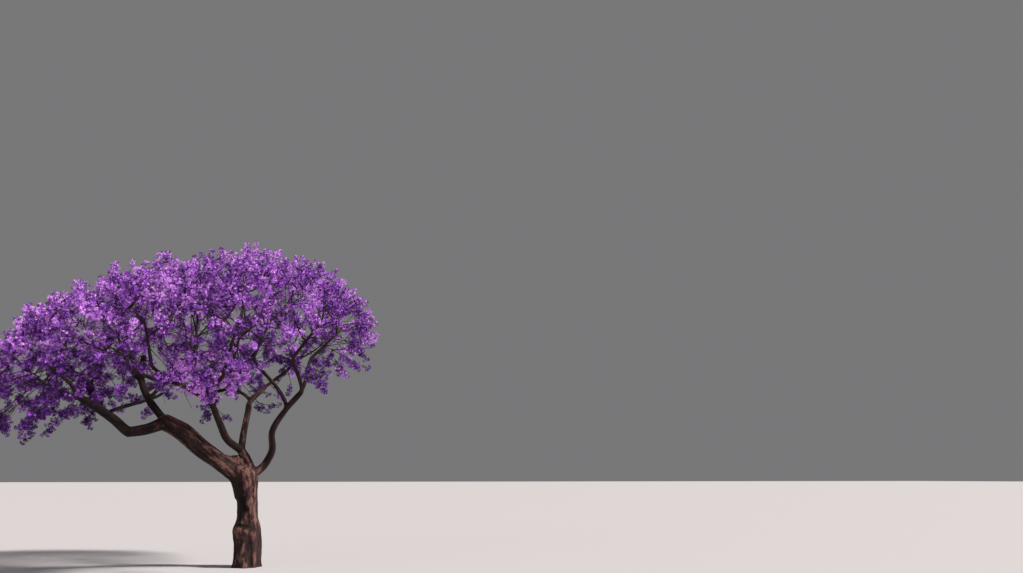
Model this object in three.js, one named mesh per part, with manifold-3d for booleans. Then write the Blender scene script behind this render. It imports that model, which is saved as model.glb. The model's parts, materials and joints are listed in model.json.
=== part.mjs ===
/**
 * A jacaranda in full bloom, in millimetres, +Z up. The origin is the middle of the flat cut
 * under the trunk, +X is to the right in the usual view of the tree and +Y is away from it.
 *
 * The trunk is stout to waist height, narrows, leans left and forks low, with a fold up its front
 * where two stems have grown together. One heavy bough leans out to the left, and a shoulder
 * carries the lighter boughs. Their ends fork again into boughs that run up under a wide, shallow,
 * hollow crown. Each of those ends in one mass of blossom: twigs grown by a seeded rule from one
 * stem, with a spray of bloom on each tip.
 */
import * as THREE from "three";
import { mergeVertices } from "three/addons/utils/BufferGeometryUtils.js";
import Module from "manifold-3d";

const wasm = await Module();
wasm.setup();

// Driving dimensions, in millimetres. A slope is a rise for each millimetre along X.
const UP_Y = new THREE.Vector3(0, 1, 0); // the long way of a cylinder before it is turned
const GAP = 0.3; // between two solids that meet
const WELD = 1e-3; // vertices nearer than this are one
const FLATNESS = 0.1; // faces this near to one plane are merged where solids join
const TRUNK = {
  height: 2240,
  waistRadius: 250,
  barrelExtra: 62, // how much thicker the trunk is below the waist
  barrelTop: [850, 1300], // heights over which that extra fades out
  barrelShorter: 170, // how much sooner it has faded on the side of the burl
  forkExtra: 75, // how much it swells again towards the fork
  forkStart: 1600,
  flare: 30, // root flare at the ground
  flareHeight: 130,
  lean: 238, // how far left the fork lies of the foot
  leanFrom: 2250, // the height at which the lean is measured
  leanPower: 2.6,
  buttress: 26, // depth of the root lobes
  buttressHeight: 420,
  flute: 11, // depth of the flutes higher up
  burl: 60, // how far the burl stands out, to the left and a little towards the viewer
  burlAngle: -155,
  burlHeight: 860,
  burlSpread: 230,
  fold: 40, // depth of the fold between the two stems that the trunk has grown from
  foldFrom: [1050, 1450], // heights over which the fold deepens
  foldAngles: [-95, -131], // where it runs, from +X towards +Y, at the two heights below
  foldHeights: [1150, 2100],
  foldWidth: 19,
  sides: 20,
  rings: 14,
};
const CROWN = {
  middle: [-1650, 0],
  reach: [4650, 4300], // half widths along X and Y
  rimHeight: 5350, // where the dome meets the rim, at X = 0
  rimSlope: 0.14,
  rise: 2560, // from the rim to the top of the dome
  fullness: 2.6, // 2 is an ellipsoid, more is flatter on top
  lipHeight: 4180, // lowest edge of the crown, at X = 0
  lipSlope: 0.17,
  lipCurl: 560, // how much further the edge rises at the crown's right end
  hollow: 1450, // how far the underside rises in the middle
  sag: 1200, // how far it comes down again round the tips of the front boughs
  sagMiddle: [-1050, -1500], // where it comes down furthest, in plan
  sagReach: 1080, // how far from there it is less than half as deep
  lane: 30, // clear width between two masses
  massReach: 1950, // how far a mass may reach from its middle
  heart: 0.35, // share of the depth at which a mass's stem ends
  lump: 210, // how far a mass's edge drops below its middle
  lumpReach: 1300,
  hangShare: 0.3, // share of the depth, from below, in which sprays hang out of the underside
  hangPower: 1.5,
};
const SPRAY = { length: 720, width: 490, thickness: 350, lift: 0.35 }; // lift: how far it turns up
const TWIG = {
  tipRadius: 9, // of a twig that carries one spray, where it leaves its fork
  sunk: 0.35, // how far past its spray's middle a twig's point lies
  forkRadius: 18,
  forkTaper: 0.85, // tip of a fork, as a share of its base
  power: 0.3, // how a twig's radius grows with the tips it carries
  forks: 6, // twigs of the framework
  forkReach: 0.82, // share of the crown's reach that the framework keeps to
  forkDepth: [0.35, 0.75], // shares of the depth between which its twigs end
  forkRoom: 27, // half width that a framework twig needs
  sites: 44, // places tried for a spray
  tips: 21, // sprays kept
  highTips: 0.6, // share of the sprays that lie high
  highFrom: 0.75, // share of the depth above which a spray counts as high
  shortest: 0.7, // least way from a joint to the end of its spray, in lengths of a spray
  spacing: 190, // least distance between two sprays' probes
  crowding: [0.35, 0.6, 0.8], // shares along a twig where it has a probe for that
  tries: 10, // candidates for each place
  clearance: 25, // from a twig or spray to any limb
  steps: 12, // places along it at which that is tested
  sides: 3,
  leaning: 0.6, // how far back a twig leaves, as a share of its distance out
  firstJoint: 0.4, // share of a framework twig before its first joint
  pathWeight: 0.4, // how much a long way back to the stem counts against a joint
};
const COLLAR = { extra: 0.28, reach: 1.3, flush: 0.97 }; // how a limb swells where it leaves its parent
const DOME = [[0.5, 0.82], [0.8, 0.45]]; // rings past a forking end: distance on, and width
const SEEDS = { first: 101, step: 37 };
const LIMB_STEP = 60; // spacing of the points that stand for a limb in clearance tests

// Main limbs. A leg is [length, heading, climb]: degrees from +X towards +Y, and above level.
const SHOULDER = {
  name: "shoulder",
  start: [-130, 0, 1700],
  radii: [160, 128],
  legs: [[370, 0, 73], [160, 0, 81]],
};
const MAIN_LIMBS = [
  {
    name: "bough_left",
    start: [-150, 0, 1680],
    radii: [240, 196],
    legs: [[520, 186, 67], [602, 190, 37], [563, 192, 35], [571, 194, 40], [476, 187, 29]],
  },
  {
    name: "bough_left_elbow",
    parent: "bough_left",
    radii: [146, 124],
    legs: [[450, 208, -24], [434, 201, -11]],
  },
  {
    name: "bough_left_outer",
    parent: "bough_left_elbow",
    radii: [118, 86],
    legs: [[448, 197, 40], [450, 195, 34], [415, 196, 29]],
  },
  {
    name: "bough_left_back",
    parent: "bough_left_elbow",
    radii: [96, 66],
    legs: [[874, 121, 20], [937, 117, 17], [599, 117, 21]],
  },
  {
    name: "bough_left_rise",
    parent: "bough_left",
    radii: [98, 72],
    legs: [[869, 137, 41], [656, 131, 53], [699, 98, 62]],
  },
  {
    name: "bough_middle",
    parent: "shoulder",
    radii: [118, 102],
    legs: [[490, 180, 63], [190, 180, 54]],
  },
  {
    name: "bough_front",
    parent: "bough_middle",
    radii: [96, 72],
    legs: [[520, 221, 29], [450, 227, 52], [650, 231, 54], [260, 250, 35]],
  },
  {
    name: "bough_back",
    parent: "bough_middle",
    radii: [90, 68],
    legs: [[410, 84, 61], [760, 80, 58], [420, 85, 44], [700, 52, 38]],
  },
  {
    name: "bough_right",
    parent: "shoulder",
    radii: [98, 70],
    legs: [[312, 0, 40], [440, 322, 59], [514, 261, 68], [575, 335, 60], [626, 334, 49]],
  },
];

// Masses of blossom: [name, share of the crown's reach, angle from +X towards +Y, limb that
// carries it, how far along that limb, how much its top is lifted, how far its lowest sprays hang].
const MASSES = [
  ["right", 0.79, 2, "bough_right", 1, 60, 300],
  ["right_back", 0.8, 38, "bough_back", 1, -60, 150],
  ["back_right", 0.79, 74, "bough_back", 0.7, 90, 250],
  ["back_left", 0.8, 108, "bough_left_back", 0.66, -40, 250],
  ["left_back", 0.79, 144, "bough_left_back", 1, 80, 350],
  ["left", 0.8, 181, "bough_left_outer", 1, -70, 650],
  ["left_front", 0.8, 215, "bough_left_outer", 1, -220, 700],
  ["front_left", 0.79, 251, "bough_front", 1, -120, 350],
  ["front_right", 0.8, 287, "bough_front", 1, 70, 250],
  ["right_front", 0.79, 325, "bough_right", 1, 120, 650],
  ["inner_right", 0.42, 20, "bough_right", 0.78, 300, 400],
  ["inner_back", 0.4, 92, "bough_left_rise", 0.5, -60, 500],
  ["inner_left", 0.42, 164, "bough_left_rise", 0.62, -120, 600],
  ["inner_front_left", 0.4, 236, "bough_front", 0.8, 0, 200],
  ["inner_front_right", 0.41, 306, "bough_front", 1, 150, 250],
  ["top", 0.05, 90, "bough_left_rise", 0.38, 0, 0],
];
const BOUGH = {
  baseRadius: 54,
  lead: 0.6, // how far a bough first follows its parent rather than its own way
  bends: [0.3, 0.15], // the shares of its reach that it bends over, at its start and at its end
  entry: 0.8,
  drop: 120,
  sides: 5,
  steps: 5,
};
const MAIN = { sides: 8, steps: 5 };
const COLOURS = { bark: 0x6b5247, blossom: 0x8a5fb0 };

/** A random number source that gives the same numbers for the same seed. */
function seededRandom(seed) {
  let state = seed >>> 0;
  return () => {
    state = (state + 0x6d2b79f5) >>> 0;
    let mixed = state;
    mixed = Math.imul(mixed ^ (mixed >>> 15), mixed | 1);
    mixed ^= mixed + Math.imul(mixed ^ (mixed >>> 7), mixed | 61);
    return ((mixed ^ (mixed >>> 14)) >>> 0) / 2 ** 32;
  };
}

function smoothstep(low, high, value) {
  const share = Math.min(1, Math.max(0, (value - low) / (high - low)));
  return share * share * (3 - 2 * share);
}

function vector(values) {
  return new THREE.Vector3(...values);
}

/** The solid inside a closed geometry. */
function asSolid(geometry) {
  const bare = geometry.clone();
  bare.deleteAttribute("normal");
  bare.deleteAttribute("uv");
  const welded = mergeVertices(bare, WELD);
  const mesh = new wasm.Mesh({
    numProp: 3,
    vertProperties: welded.getAttribute("position").array,
    triVerts: welded.index.array,
  });
  return new wasm.Manifold(mesh).setTolerance(FLATNESS);
}

/** One body from solids that overlap, without its inner hollows and any scrap that hangs free. */
function fuse(solids) {
  const joined = solids.reduce((whole, solid) => whole.add(solid));
  return joined.decompose().reduce((a, b) => (a.volume() > b.volume() ? a : b));
}

function asGeometry(solid) {
  const { numProp, numVert, vertProperties, triVerts } = solid.getMesh();
  const places = new Float32Array(numVert * 3);
  for (let i = 0; i < numVert; i++) {
    places.set(vertProperties.subarray(i * numProp, i * numProp + 3), i * 3);
  }
  const geometry = new THREE.BufferGeometry();
  geometry.setAttribute("position", new THREE.BufferAttribute(places, 3));
  geometry.setIndex(new THREE.BufferAttribute(triVerts, 1));
  geometry.computeVertexNormals();
  return geometry;
}

/** A closed tube through rings of { centre, u, v, radius }, radius being a function of the angle. */
function tubeThrough(rings, sides) {
  const steps = rings.length - 1;
  const tube = new THREE.CylinderGeometry(1, 1, steps, sides, steps);
  const position = tube.getAttribute("position");
  const local = new THREE.Vector3();
  for (let i = 0; i < position.count; i++) {
    local.fromBufferAttribute(position, i);
    const ring = rings[Math.round(steps / 2 - local.y)];
    const reach = ring.radius(Math.atan2(local.z, local.x));
    const place = ring.centre
      .clone()
      .addScaledVector(ring.u, local.x * reach)
      .addScaledVector(ring.v, local.z * reach);
    position.setXYZ(i, place.x, place.y, place.z);
  }
  return tube;
}

/** A limb: a smooth curve with a taper, swollen where it leaves its parent. */
class Limb {
  constructor(name, curve, radii, parentRadius, side) {
    this.name = name;
    this.curve = curve;
    this.length = curve.getLength();
    this.radii = radii;
    const room = (COLLAR.flush * parentRadius) / radii[0] - 1;
    this.swell = Math.max(0, Math.min(COLLAR.extra, room));
    const chord = curve.getPoint(1).sub(curve.getPoint(0)).normalize();
    const off = Math.abs(chord.z) > 0.8 ? new THREE.Vector3(1, 0, 0) : new THREE.Vector3(0, 0, 1);
    this.side = side ?? chord.cross(off).normalize();
    this.stations = [];
    const count = Math.ceil(this.length / LIMB_STEP);
    for (let i = 0; i <= count; i++) {
      const s = (this.length * i) / count;
      this.stations.push({ point: this.pointAt(s), radius: this.radiusAt(s) });
    }
  }

  pointAt(s) {
    return this.curve.getPointAt(Math.min(1, s / this.length));
  }

  directionAt(s) {
    return this.curve.getTangentAt(Math.min(1, s / this.length));
  }

  radiusAt(s) {
    const [base, tip] = this.radii;
    const swell = this.swell * Math.exp(-s / (COLLAR.reach * base));
    return (base + (tip - base) * (s / this.length)) * (1 + swell);
  }

  ringAt(s, onward, share) {
    const along = this.directionAt(s);
    const u = this.side.clone().addScaledVector(along, -this.side.dot(along)).normalize();
    const reach = this.radiusAt(s);
    const centre = this.pointAt(s).addScaledVector(along, onward * reach);
    return { centre, u, v: along.clone().cross(u), radius: () => share * reach };
  }

  /** The tube between two distances along the limb; a domed end runs on past the second. */
  tube(from, to, sides, steps, domed) {
    const rings = [];
    for (let i = 0; i <= steps; i++) rings.push(this.ringAt(from + ((to - from) * i) / steps, 0, 1));
    if (domed) rings.push(...DOME.map(([onward, share]) => this.ringAt(to, onward, share)));
    return tubeThrough(rings, sides);
  }

  /** How far a point lies outside this limb's surface. */
  clearanceTo(point) {
    return Math.min(...this.stations.map((at) => at.point.distanceTo(point) - at.radius));
  }
}

/** Where the legs of a limb end, beginning at its start. */
function pointsOfLegs(start, legs) {
  const points = [start.clone()];
  for (const [length, heading, climb] of legs) {
    const turn = THREE.MathUtils.degToRad(heading);
    const rise = THREE.MathUtils.degToRad(climb);
    const level = length * Math.cos(rise);
    const height = length * Math.sin(rise);
    const step = new THREE.Vector3(level * Math.cos(turn), level * Math.sin(turn), height);
    points.push(points.at(-1).clone().add(step));
  }
  return points;
}

/** The trunk's centre at a height: upright at the foot, leaning left towards the fork. */
function trunkCentre(z) {
  return new THREE.Vector3(-TRUNK.lean * (z / TRUNK.leanFrom) ** TRUNK.leanPower, 0, z);
}

/** Depth at a height and an angle of the fold that climbs the trunk from its waist to its fork. */
function trunkFold(z, angle) {
  const [low, high] = TRUNK.foldHeights;
  const turn = THREE.MathUtils.lerp(...TRUNK.foldAngles, (z - low) / (high - low));
  const off = (THREE.MathUtils.radToDeg(angle) - turn) / TRUNK.foldWidth;
  return TRUNK.fold * smoothstep(...TRUNK.foldFrom, z) * Math.exp(-(off ** 2));
}

/** The trunk's radius at a height and an angle, with its root lobes, flutes, burl and fold. */
function trunkRadius(z, angle) {
  const toBurl = Math.max(0, Math.cos(angle - THREE.MathUtils.degToRad(TRUNK.burlAngle))) ** 2;
  const [fadeFrom, fadeTo] = TRUNK.barrelTop;
  const fadeEnd = fadeTo - TRUNK.barrelShorter * toBurl;
  const barrel = TRUNK.barrelExtra * (1 - smoothstep(fadeFrom, fadeEnd, z));
  const fork = TRUNK.forkExtra * smoothstep(TRUNK.forkStart, TRUNK.height, z);
  const flare = TRUNK.flare * Math.exp(-z / TRUNK.flareHeight);
  const lobes = TRUNK.buttress * Math.exp(-z / TRUNK.buttressHeight) * Math.cos(5 * angle + 0.7);
  const flutes = TRUNK.flute * Math.cos(7 * angle + z / 420);
  const burl = TRUNK.burl * toBurl * Math.exp(-(((z - TRUNK.burlHeight) / TRUNK.burlSpread) ** 2));
  return TRUNK.waistRadius + barrel + fork + flare + lobes + flutes + burl - trunkFold(z, angle);
}

/** A level ring of the trunk, at a share of its width. */
function trunkRing(z, share) {
  return {
    centre: trunkCentre(z),
    u: new THREE.Vector3(1, 0, 0),
    v: new THREE.Vector3(0, 1, 0),
    radius: (angle) => share * trunkRadius(Math.min(z, TRUNK.height), angle),
  };
}

function trunkTube() {
  const rings = [];
  for (let i = 0; i < TRUNK.rings; i++) rings.push(trunkRing((TRUNK.height * i) / (TRUNK.rings - 1), 1));
  for (const [onward, share] of DOME) {
    rings.push(trunkRing(TRUNK.height + onward * TRUNK.waistRadius, share));
  }
  return tubeThrough(rings, TRUNK.sides);
}

/** Share of the way from the crown's middle to its rim, in plan. */
function shareOfReach(x, y) {
  return Math.hypot((x - CROWN.middle[0]) / CROWN.reach[0], (y - CROWN.middle[1]) / CROWN.reach[1]);
}

function crownTop(mass, x, y) {
  const share = Math.min(1, shareOfReach(x, y));
  const rise = CROWN.rise * Math.sqrt(1 - share ** CROWN.fullness);
  const dome = CROWN.rimHeight + CROWN.rimSlope * x + rise;
  const off = Math.hypot(x - mass.x, y - mass.y) / CROWN.lumpReach;
  return dome + mass.lift - CROWN.lump * off ** 2;
}

function crownUnder(x, y) {
  const share = Math.min(1, shareOfReach(x, y));
  const curl = CROWN.lipCurl * (Math.max(0, x) / (CROWN.middle[0] + CROWN.reach[0])) ** 2;
  const toSag = Math.hypot(x - CROWN.sagMiddle[0], y - CROWN.sagMiddle[1]) / CROWN.sagReach;
  const hollow = CROWN.hollow * (1 - share ** 2) - CROWN.sag * Math.exp(-(toSag ** 2));
  return CROWN.lipHeight + CROWN.lipSlope * x + curl + hollow;
}

/** The masses with their places: each owns the plan nearer to its middle than to any other. */
const masses = MASSES.map(([name, share, angle, parent, along, lift, hang], index) => {
  const turn = THREE.MathUtils.degToRad(angle);
  const x = CROWN.middle[0] + CROWN.reach[0] * share * Math.cos(turn);
  const y = CROWN.middle[1] + CROWN.reach[1] * share * Math.sin(turn);
  return { name, parent, along, lift, hang, x, y, seed: SEEDS.first + SEEDS.step * index };
});

/** Whether a point keeps to a mass's own space, at least a margin inside its borders. */
function ownsPoint(mass, x, y, margin) {
  return masses.every((other) => {
    if (other === mass) return true;
    const toOther = (x - other.x) ** 2 + (y - other.y) ** 2;
    const toOwn = (x - mass.x) ** 2 + (y - mass.y) ** 2;
    return (toOther - toOwn) / (2 * Math.hypot(other.x - mass.x, other.y - mass.y)) > margin;
  });
}

/**
 * A point in a mass's space, at a share of the depth from the crown's underside to its top. The
 * lowest points hang out of the underside, so that few sprays hang far.
 */
function drawSite(mass, reach, depth, random) {
  for (;;) {
    const turn = 2 * Math.PI * random();
    const off = CROWN.massReach * Math.sqrt(random());
    const x = mass.x + off * Math.cos(turn);
    const y = mass.y + off * Math.sin(turn);
    const share = depth(random());
    if (shareOfReach(x, y) > reach || !ownsPoint(mass, x, y, CROWN.lane)) continue;
    const under = crownUnder(x, y);
    const hang = mass.hang * Math.max(0, 1 - share / CROWN.hangShare) ** CROWN.hangPower;
    return new THREE.Vector3(x, y, under + (crownTop(mass, x, y) - under) * share - hang);
  }
}

/** Sites spread evenly: each is, of a few candidates, the one furthest from those before it. */
function spreadSites(count, draw) {
  const sites = [];
  while (sites.length < count) {
    let best = null;
    let widest = -1;
    for (let i = 0; i < TWIG.tries; i++) {
      const site = draw();
      const nearest = Math.min(...sites.map((other) => other.distanceTo(site)), Infinity);
      if (nearest > widest) [best, widest] = [site, nearest];
    }
    sites.push(best);
  }
  return sites;
}

/** A straight three-sided twig from one point to another. */
function twig(from, to, radius, tipRadius) {
  const along = to.clone().sub(from);
  const bar = new THREE.CylinderGeometry(tipRadius, radius, along.length(), TWIG.sides, 1);
  const turn = new THREE.Quaternion().setFromUnitVectors(UP_Y, along.normalize());
  const middle = from.clone().add(to).divideScalar(2);
  return bar.applyQuaternion(turn).translate(middle.x, middle.y, middle.z);
}

/** The way a spray points: on from its twig, turned up a little. */
function sprayAxis(joint, site) {
  const axis = site.clone().sub(joint).normalize();
  axis.z += SPRAY.lift;
  return axis.normalize();
}

/** The wide, long and thin way of a spray, turned so that its twig enters through a face. */
function sprayBasis(joint, middle, axis) {
  const inward = joint.clone().sub(middle);
  const lateral = inward.addScaledVector(axis, -inward.dot(axis)).normalize();
  const wide = lateral.applyAxisAngle(axis, Math.atan2(SPRAY.thickness, SPRAY.width));
  return [wide, axis, wide.clone().cross(axis)];
}

/** A spray of bloom with eight faces, longer than wide. */
function spray(middle, basis) {
  const body = new THREE.OctahedronGeometry(1, 0);
  body.scale(SPRAY.width / 2, SPRAY.length / 2, SPRAY.thickness / 2);
  body.applyMatrix4(new THREE.Matrix4().makeBasis(...basis));
  return body.translate(middle.x, middle.y, middle.z);
}

/** Whether every limb lies outside a spray's faces, by the clearance or more. */
function sprayIsClear(middle, basis, limbs) {
  const halves = [SPRAY.width / 2, SPRAY.length / 2, SPRAY.thickness / 2];
  const faceDistance = 1 / Math.hypot(...halves.map((half) => 1 / half));
  const beyond = (point) => {
    const off = point.clone().sub(middle);
    const shares = basis.map((way, i) => Math.abs(off.dot(way)) / halves[i]);
    return (shares[0] + shares[1] + shares[2] - 1) * faceDistance;
  };
  const isClear = (at) => beyond(at.point) > at.radius + TWIG.clearance;
  return limbs.every((limb) => limb.stations.every(isClear));
}

/** Where a twig to a site best leaves the framework: near, forwards, not far from the stem. */
function jointFor(site, framework, random) {
  let best = null;
  let least = Infinity;
  for (const fork of framework) {
    const along = fork.to.clone().sub(fork.from);
    const length = along.length();
    along.divideScalar(length);
    const foot = site.clone().sub(fork.from).dot(along);
    const out = site.distanceTo(fork.from.clone().addScaledVector(along, foot));
    const share = (foot - TWIG.leaning * out) / length;
    const held = Math.min(1 - 0.16 * random(), Math.max(TWIG.firstJoint, share));
    const point = fork.from.clone().lerp(fork.to, held);
    const path = fork.path + held * length;
    const cost = point.distanceTo(site) + TWIG.pathWeight * path;
    if (cost < least) [best, least] = [{ fork, point, path }, cost];
  }
  return best;
}

function pointsOf(geometry) {
  const position = geometry.getAttribute("position");
  const pointAt = (_, i) => new THREE.Vector3().fromBufferAttribute(position, i);
  return Array.from({ length: position.count }, pointAt);
}

/** Whether a small piece keeps to its mass's space and clear of every limb. */
function fits(geometry, from, to, mass, limbs) {
  const corners = pointsOf(geometry);
  if (!corners.every((corner) => ownsPoint(mass, corner.x, corner.y, CROWN.lane / 2))) return false;
  const probes = [...corners];
  for (let i = 1; i <= TWIG.steps; i++) probes.push(from.clone().lerp(to, i / TWIG.steps));
  return limbs.every((limb) => probes.every((probe) => limb.clearanceTo(probe) > TWIG.clearance));
}

function forkRadius(tips) {
  return TWIG.forkRadius * tips ** TWIG.power;
}

/** The framework of a mass: its stem, and forks that leave the stem or one another. */
function growFramework(mass, from, heart, limbs, random) {
  const framework = [{ from, to: heart, path: 0, tips: 0, parent: null }];
  const [low, high] = TWIG.forkDepth;
  const depth = (draw) => low + (high - low) * draw;
  const ends = spreadSites(TWIG.forks, () => drawSite(mass, TWIG.forkReach, depth, random));
  ends.sort((a, b) => a.distanceTo(heart) - b.distanceTo(heart));
  for (const to of ends) {
    const { fork, point, path } = jointFor(to, framework, random);
    const bar = twig(point, to, TWIG.forkRoom, TWIG.forkRoom);
    if (!fits(bar, point, to, mass, limbs)) continue;
    framework.push({ from: point, to, path, tips: 0, parent: fork });
  }
  return framework;
}

/** Points that stand for a spray and its twig where they are tested for crowding. */
function probesOf(joint, middle, site) {
  const onTwig = TWIG.crowding.map((share) => joint.clone().lerp(middle, share));
  return [...onTwig, middle, middle.clone().lerp(site, 0.5)];
}

/** One mass of blossom, grown from the end of its bough. */
function growMass(mass, bough, limbs) {
  const random = seededRandom(mass.seed);
  const from = bough.pointAt(bough.length);
  const heart = massHeart(mass);
  const framework = growFramework(mass, from, heart, limbs, random);
  const pieces = [];
  const taken = [];
  let left = TWIG.tips;
  for (const site of spreadSites(TWIG.sites, () => drawSite(mass, 1, tipDepth, random))) {
    const { fork, point } = jointFor(site, framework, random);
    if (!left || point.distanceTo(site) < SPRAY.length * TWIG.shortest) continue;
    const axis = sprayAxis(point, site);
    const middle = site.clone().addScaledVector(axis, -SPRAY.length / 2);
    const probes = probesOf(point, middle, site);
    if (probes.some((probe) => taken.some((other) => other.distanceTo(probe) < TWIG.spacing))) continue;
    const basis = sprayBasis(point, middle, axis);
    const bloom = spray(middle, basis);
    const bar = twig(point, middle.clone().lerp(site, TWIG.sunk), TWIG.tipRadius, 0);
    if (!fits(bloom, point, site, mass, limbs) || !fits(bar, point, middle, mass, limbs)) continue;
    if (!sprayIsClear(middle, basis, limbs)) continue;
    pieces.push(bar, bloom);
    taken.push(...probes);
    left -= 1;
    for (let at = fork; at; at = at.parent) at.tips += 1;
  }
  for (const fork of framework.slice(1)) {
    if (!fork.tips) continue;
    pieces.push(twig(fork.from, fork.to, forkRadius(fork.tips), forkRadius(fork.tips) * TWIG.forkTaper));
  }
  const radii = [bough.radii[1], forkRadius(TWIG.tips / 2)];
  const stem = new Limb("stem", new THREE.LineCurve3(from, heart), radii, 0, bough.side);
  pieces.push(stem.tube(GAP, stem.length, BOUGH.sides, 1));
  return fuse(pieces.map(asSolid));
}

/** Share of the depth at which a spray's point lies: most are near the top of the crown. */
function tipDepth(draw) {
  const { highTips, highFrom } = TWIG;
  if (draw < highTips) return highFrom + (1 - highFrom) * (draw / highTips);
  return (highFrom * (draw - highTips)) / (1 - highTips);
}

/** The middle of a mass's space, where its stem ends. */
function massHeart(mass) {
  const under = crownUnder(mass.x, mass.y);
  const depth = crownTop(mass, mass.x, mass.y) - under;
  return new THREE.Vector3(mass.x, mass.y, under + depth * CROWN.heart);
}

/** The bough that carries a mass: from its parent limb to the underside of the mass. */
function boughFor(mass, limbs) {
  const parent = limbs.get(mass.parent);
  const from = parent.pointAt(parent.length * mass.along);
  const heart = massHeart(mass);
  const [middleX, middleY] = CROWN.middle;
  const x = middleX + (mass.x - middleX) * BOUGH.entry;
  const y = middleY + (mass.y - middleY) * BOUGH.entry;
  const end = new THREE.Vector3(x, y, crownUnder(x, y) - BOUGH.drop);
  const reach = from.distanceTo(end);
  const outward = end.clone().sub(from).normalize();
  const ahead = parent.directionAt(parent.length * mass.along).multiplyScalar(BOUGH.lead);
  const leaves = ahead.add(outward).normalize();
  const enters = heart.clone().sub(end).normalize();
  const curve = new THREE.CubicBezierCurve3(
    from,
    from.clone().addScaledVector(leaves, reach * BOUGH.bends[0]),
    end.clone().addScaledVector(enters, -reach * BOUGH.bends[1]),
    end,
  );
  const parentRadius = parent.radiusAt(parent.length * mass.along);
  const base = Math.min(BOUGH.baseRadius, COLLAR.flush * parentRadius);
  const limb = new Limb("bough_to_" + mass.name, curve, [base, forkRadius(TWIG.tips)], parentRadius);
  const { sides, steps } = BOUGH;
  return Object.assign(limb, { parent: mass.parent, along: mass.along, sides, steps });
}

/** Every limb by name, each after its parent. */
function layOutLimbs() {
  const limbs = new Map();
  for (const { name, start, parent, radii, legs } of [SHOULDER, ...MAIN_LIMBS]) {
    const from = start ? vector(start) : limbs.get(parent).pointAt(limbs.get(parent).length);
    const curve = new THREE.CatmullRomCurve3(pointsOfLegs(from, legs));
    const parentRadius = start ? trunkRadius(from.z, Math.PI / 2) : limbs.get(parent).radii[1];
    const limb = new Limb(name, curve, radii, parentRadius);
    limbs.set(name, Object.assign(limb, { parent: parent ?? "trunk", along: 1, ...MAIN }));
  }
  for (const mass of masses) {
    const bough = boughFor(mass, limbs);
    limbs.set(bough.name, bough);
  }
  return limbs;
}

/** How far along a limb it has come clear of its parent and of the other limbs that leave it. */
function clearStart(limb, others) {
  const step = 10;
  const margin = 6;
  let s = limb.radii[0];
  while (others.some((other) => other.clearanceTo(limb.pointAt(s)) < limb.radiusAt(s) + margin)) {
    s += step;
    if (s > limb.length) throw new Error(limb.name + " never comes clear");
  }
  return s;
}

/** The trunk as a limb with round stations, for clearance tests. */
function trunkStand() {
  const stations = [];
  for (let z = 0; z <= TRUNK.height; z += LIMB_STEP) {
    stations.push({ point: trunkCentre(z), radius: trunkRadius(z, Math.PI / 2) + TRUNK.flute });
  }
  const gapTo = (at, point) => at.point.distanceTo(point) - at.radius;
  const clearanceTo = (point) => Math.min(...stations.map((at) => gapTo(at, point)));
  return { name: "trunk", stations, clearanceTo };
}

function materialFor(colour, roughness) {
  return new THREE.MeshStandardMaterial({ color: colour, roughness, metalness: 0 });
}

function addNode(tree, name, solid, material) {
  const mesh = new THREE.Mesh(asGeometry(solid), material);
  mesh.name = name;
  tree.add(mesh);
}

/** The first part of each limb that leaves a parent, which is fused to that parent. */
function stubsOf(name, limbs, starts) {
  const isChild = (limb) => limb.parent === name && limb.name !== "shoulder";
  const children = [...limbs.values()].filter(isChild);
  return children.map((limb) => limb.tube(0, starts.get(limb.name) - GAP / 2, limb.sides, 1));
}

/** Where each limb's own solid starts, by name. */
function startsOf(limbs, all) {
  const inTrunk = ["trunk", "shoulder"];
  const starts = new Map();
  for (const limb of limbs.values()) {
    if (limb.name === "shoulder") continue;
    const family = inTrunk.includes(limb.parent) ? inTrunk : [limb.parent];
    const kin = all.filter((other) => family.includes(other.name) || family.includes(other.parent));
    starts.set(limb.name, clearStart(limb, kin.filter((other) => other !== limb)));
  }
  return starts;
}

function buildTree() {
  const tree = new THREE.Group();
  tree.name = "jacaranda";
  const bark = materialFor(COLOURS.bark, 0.9);
  const bloom = materialFor(COLOURS.blossom, 0.7);
  const limbs = layOutLimbs();
  const all = [trunkStand(), ...limbs.values()];
  const starts = startsOf(limbs, all);
  for (const name of ["trunk", ...starts.keys()]) {
    const limb = limbs.get(name);
    const stubs = stubsOf(name, limbs, starts);
    const pieces = [...stubs];
    if (limb) {
      const start = starts.get(name) + GAP / 2;
      pieces.push(limb.tube(start, limb.length, limb.sides, limb.steps, stubs.length > 0));
    } else {
      const shoulder = limbs.get("shoulder");
      pieces.push(trunkTube(), shoulder.tube(0, shoulder.length, MAIN.sides, 2, true));
      pieces.push(...stubsOf("shoulder", limbs, starts));
    }
    addNode(tree, name, fuse(pieces.map(asSolid)), bark);
  }
  for (const mass of masses) {
    const bough = limbs.get("bough_to_" + mass.name);
    addNode(tree, "blossom_" + mass.name, growMass(mass, bough, all), bloom);
  }
  return tree;
}

export default buildTree();
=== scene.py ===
"""A jacaranda in full bloom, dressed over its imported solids.

The limbs and the twigs of the crown are laid out by the same seeded rule that shaped the solids,
in millimetres, and carried on to finer twigs, panicles and single flowers. Meshes are in metres.
+Z is up, the origin is the middle of the flat cut under the trunk, +X is to the viewer's right
and +Y is away from the viewer.
"""

import json
import logging
import math
from dataclasses import dataclass, field
from enum import Enum
from functools import partial
from typing import Callable, Optional, Sequence

import bmesh
import bpy
import numpy as np
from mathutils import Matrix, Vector, noise

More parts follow.
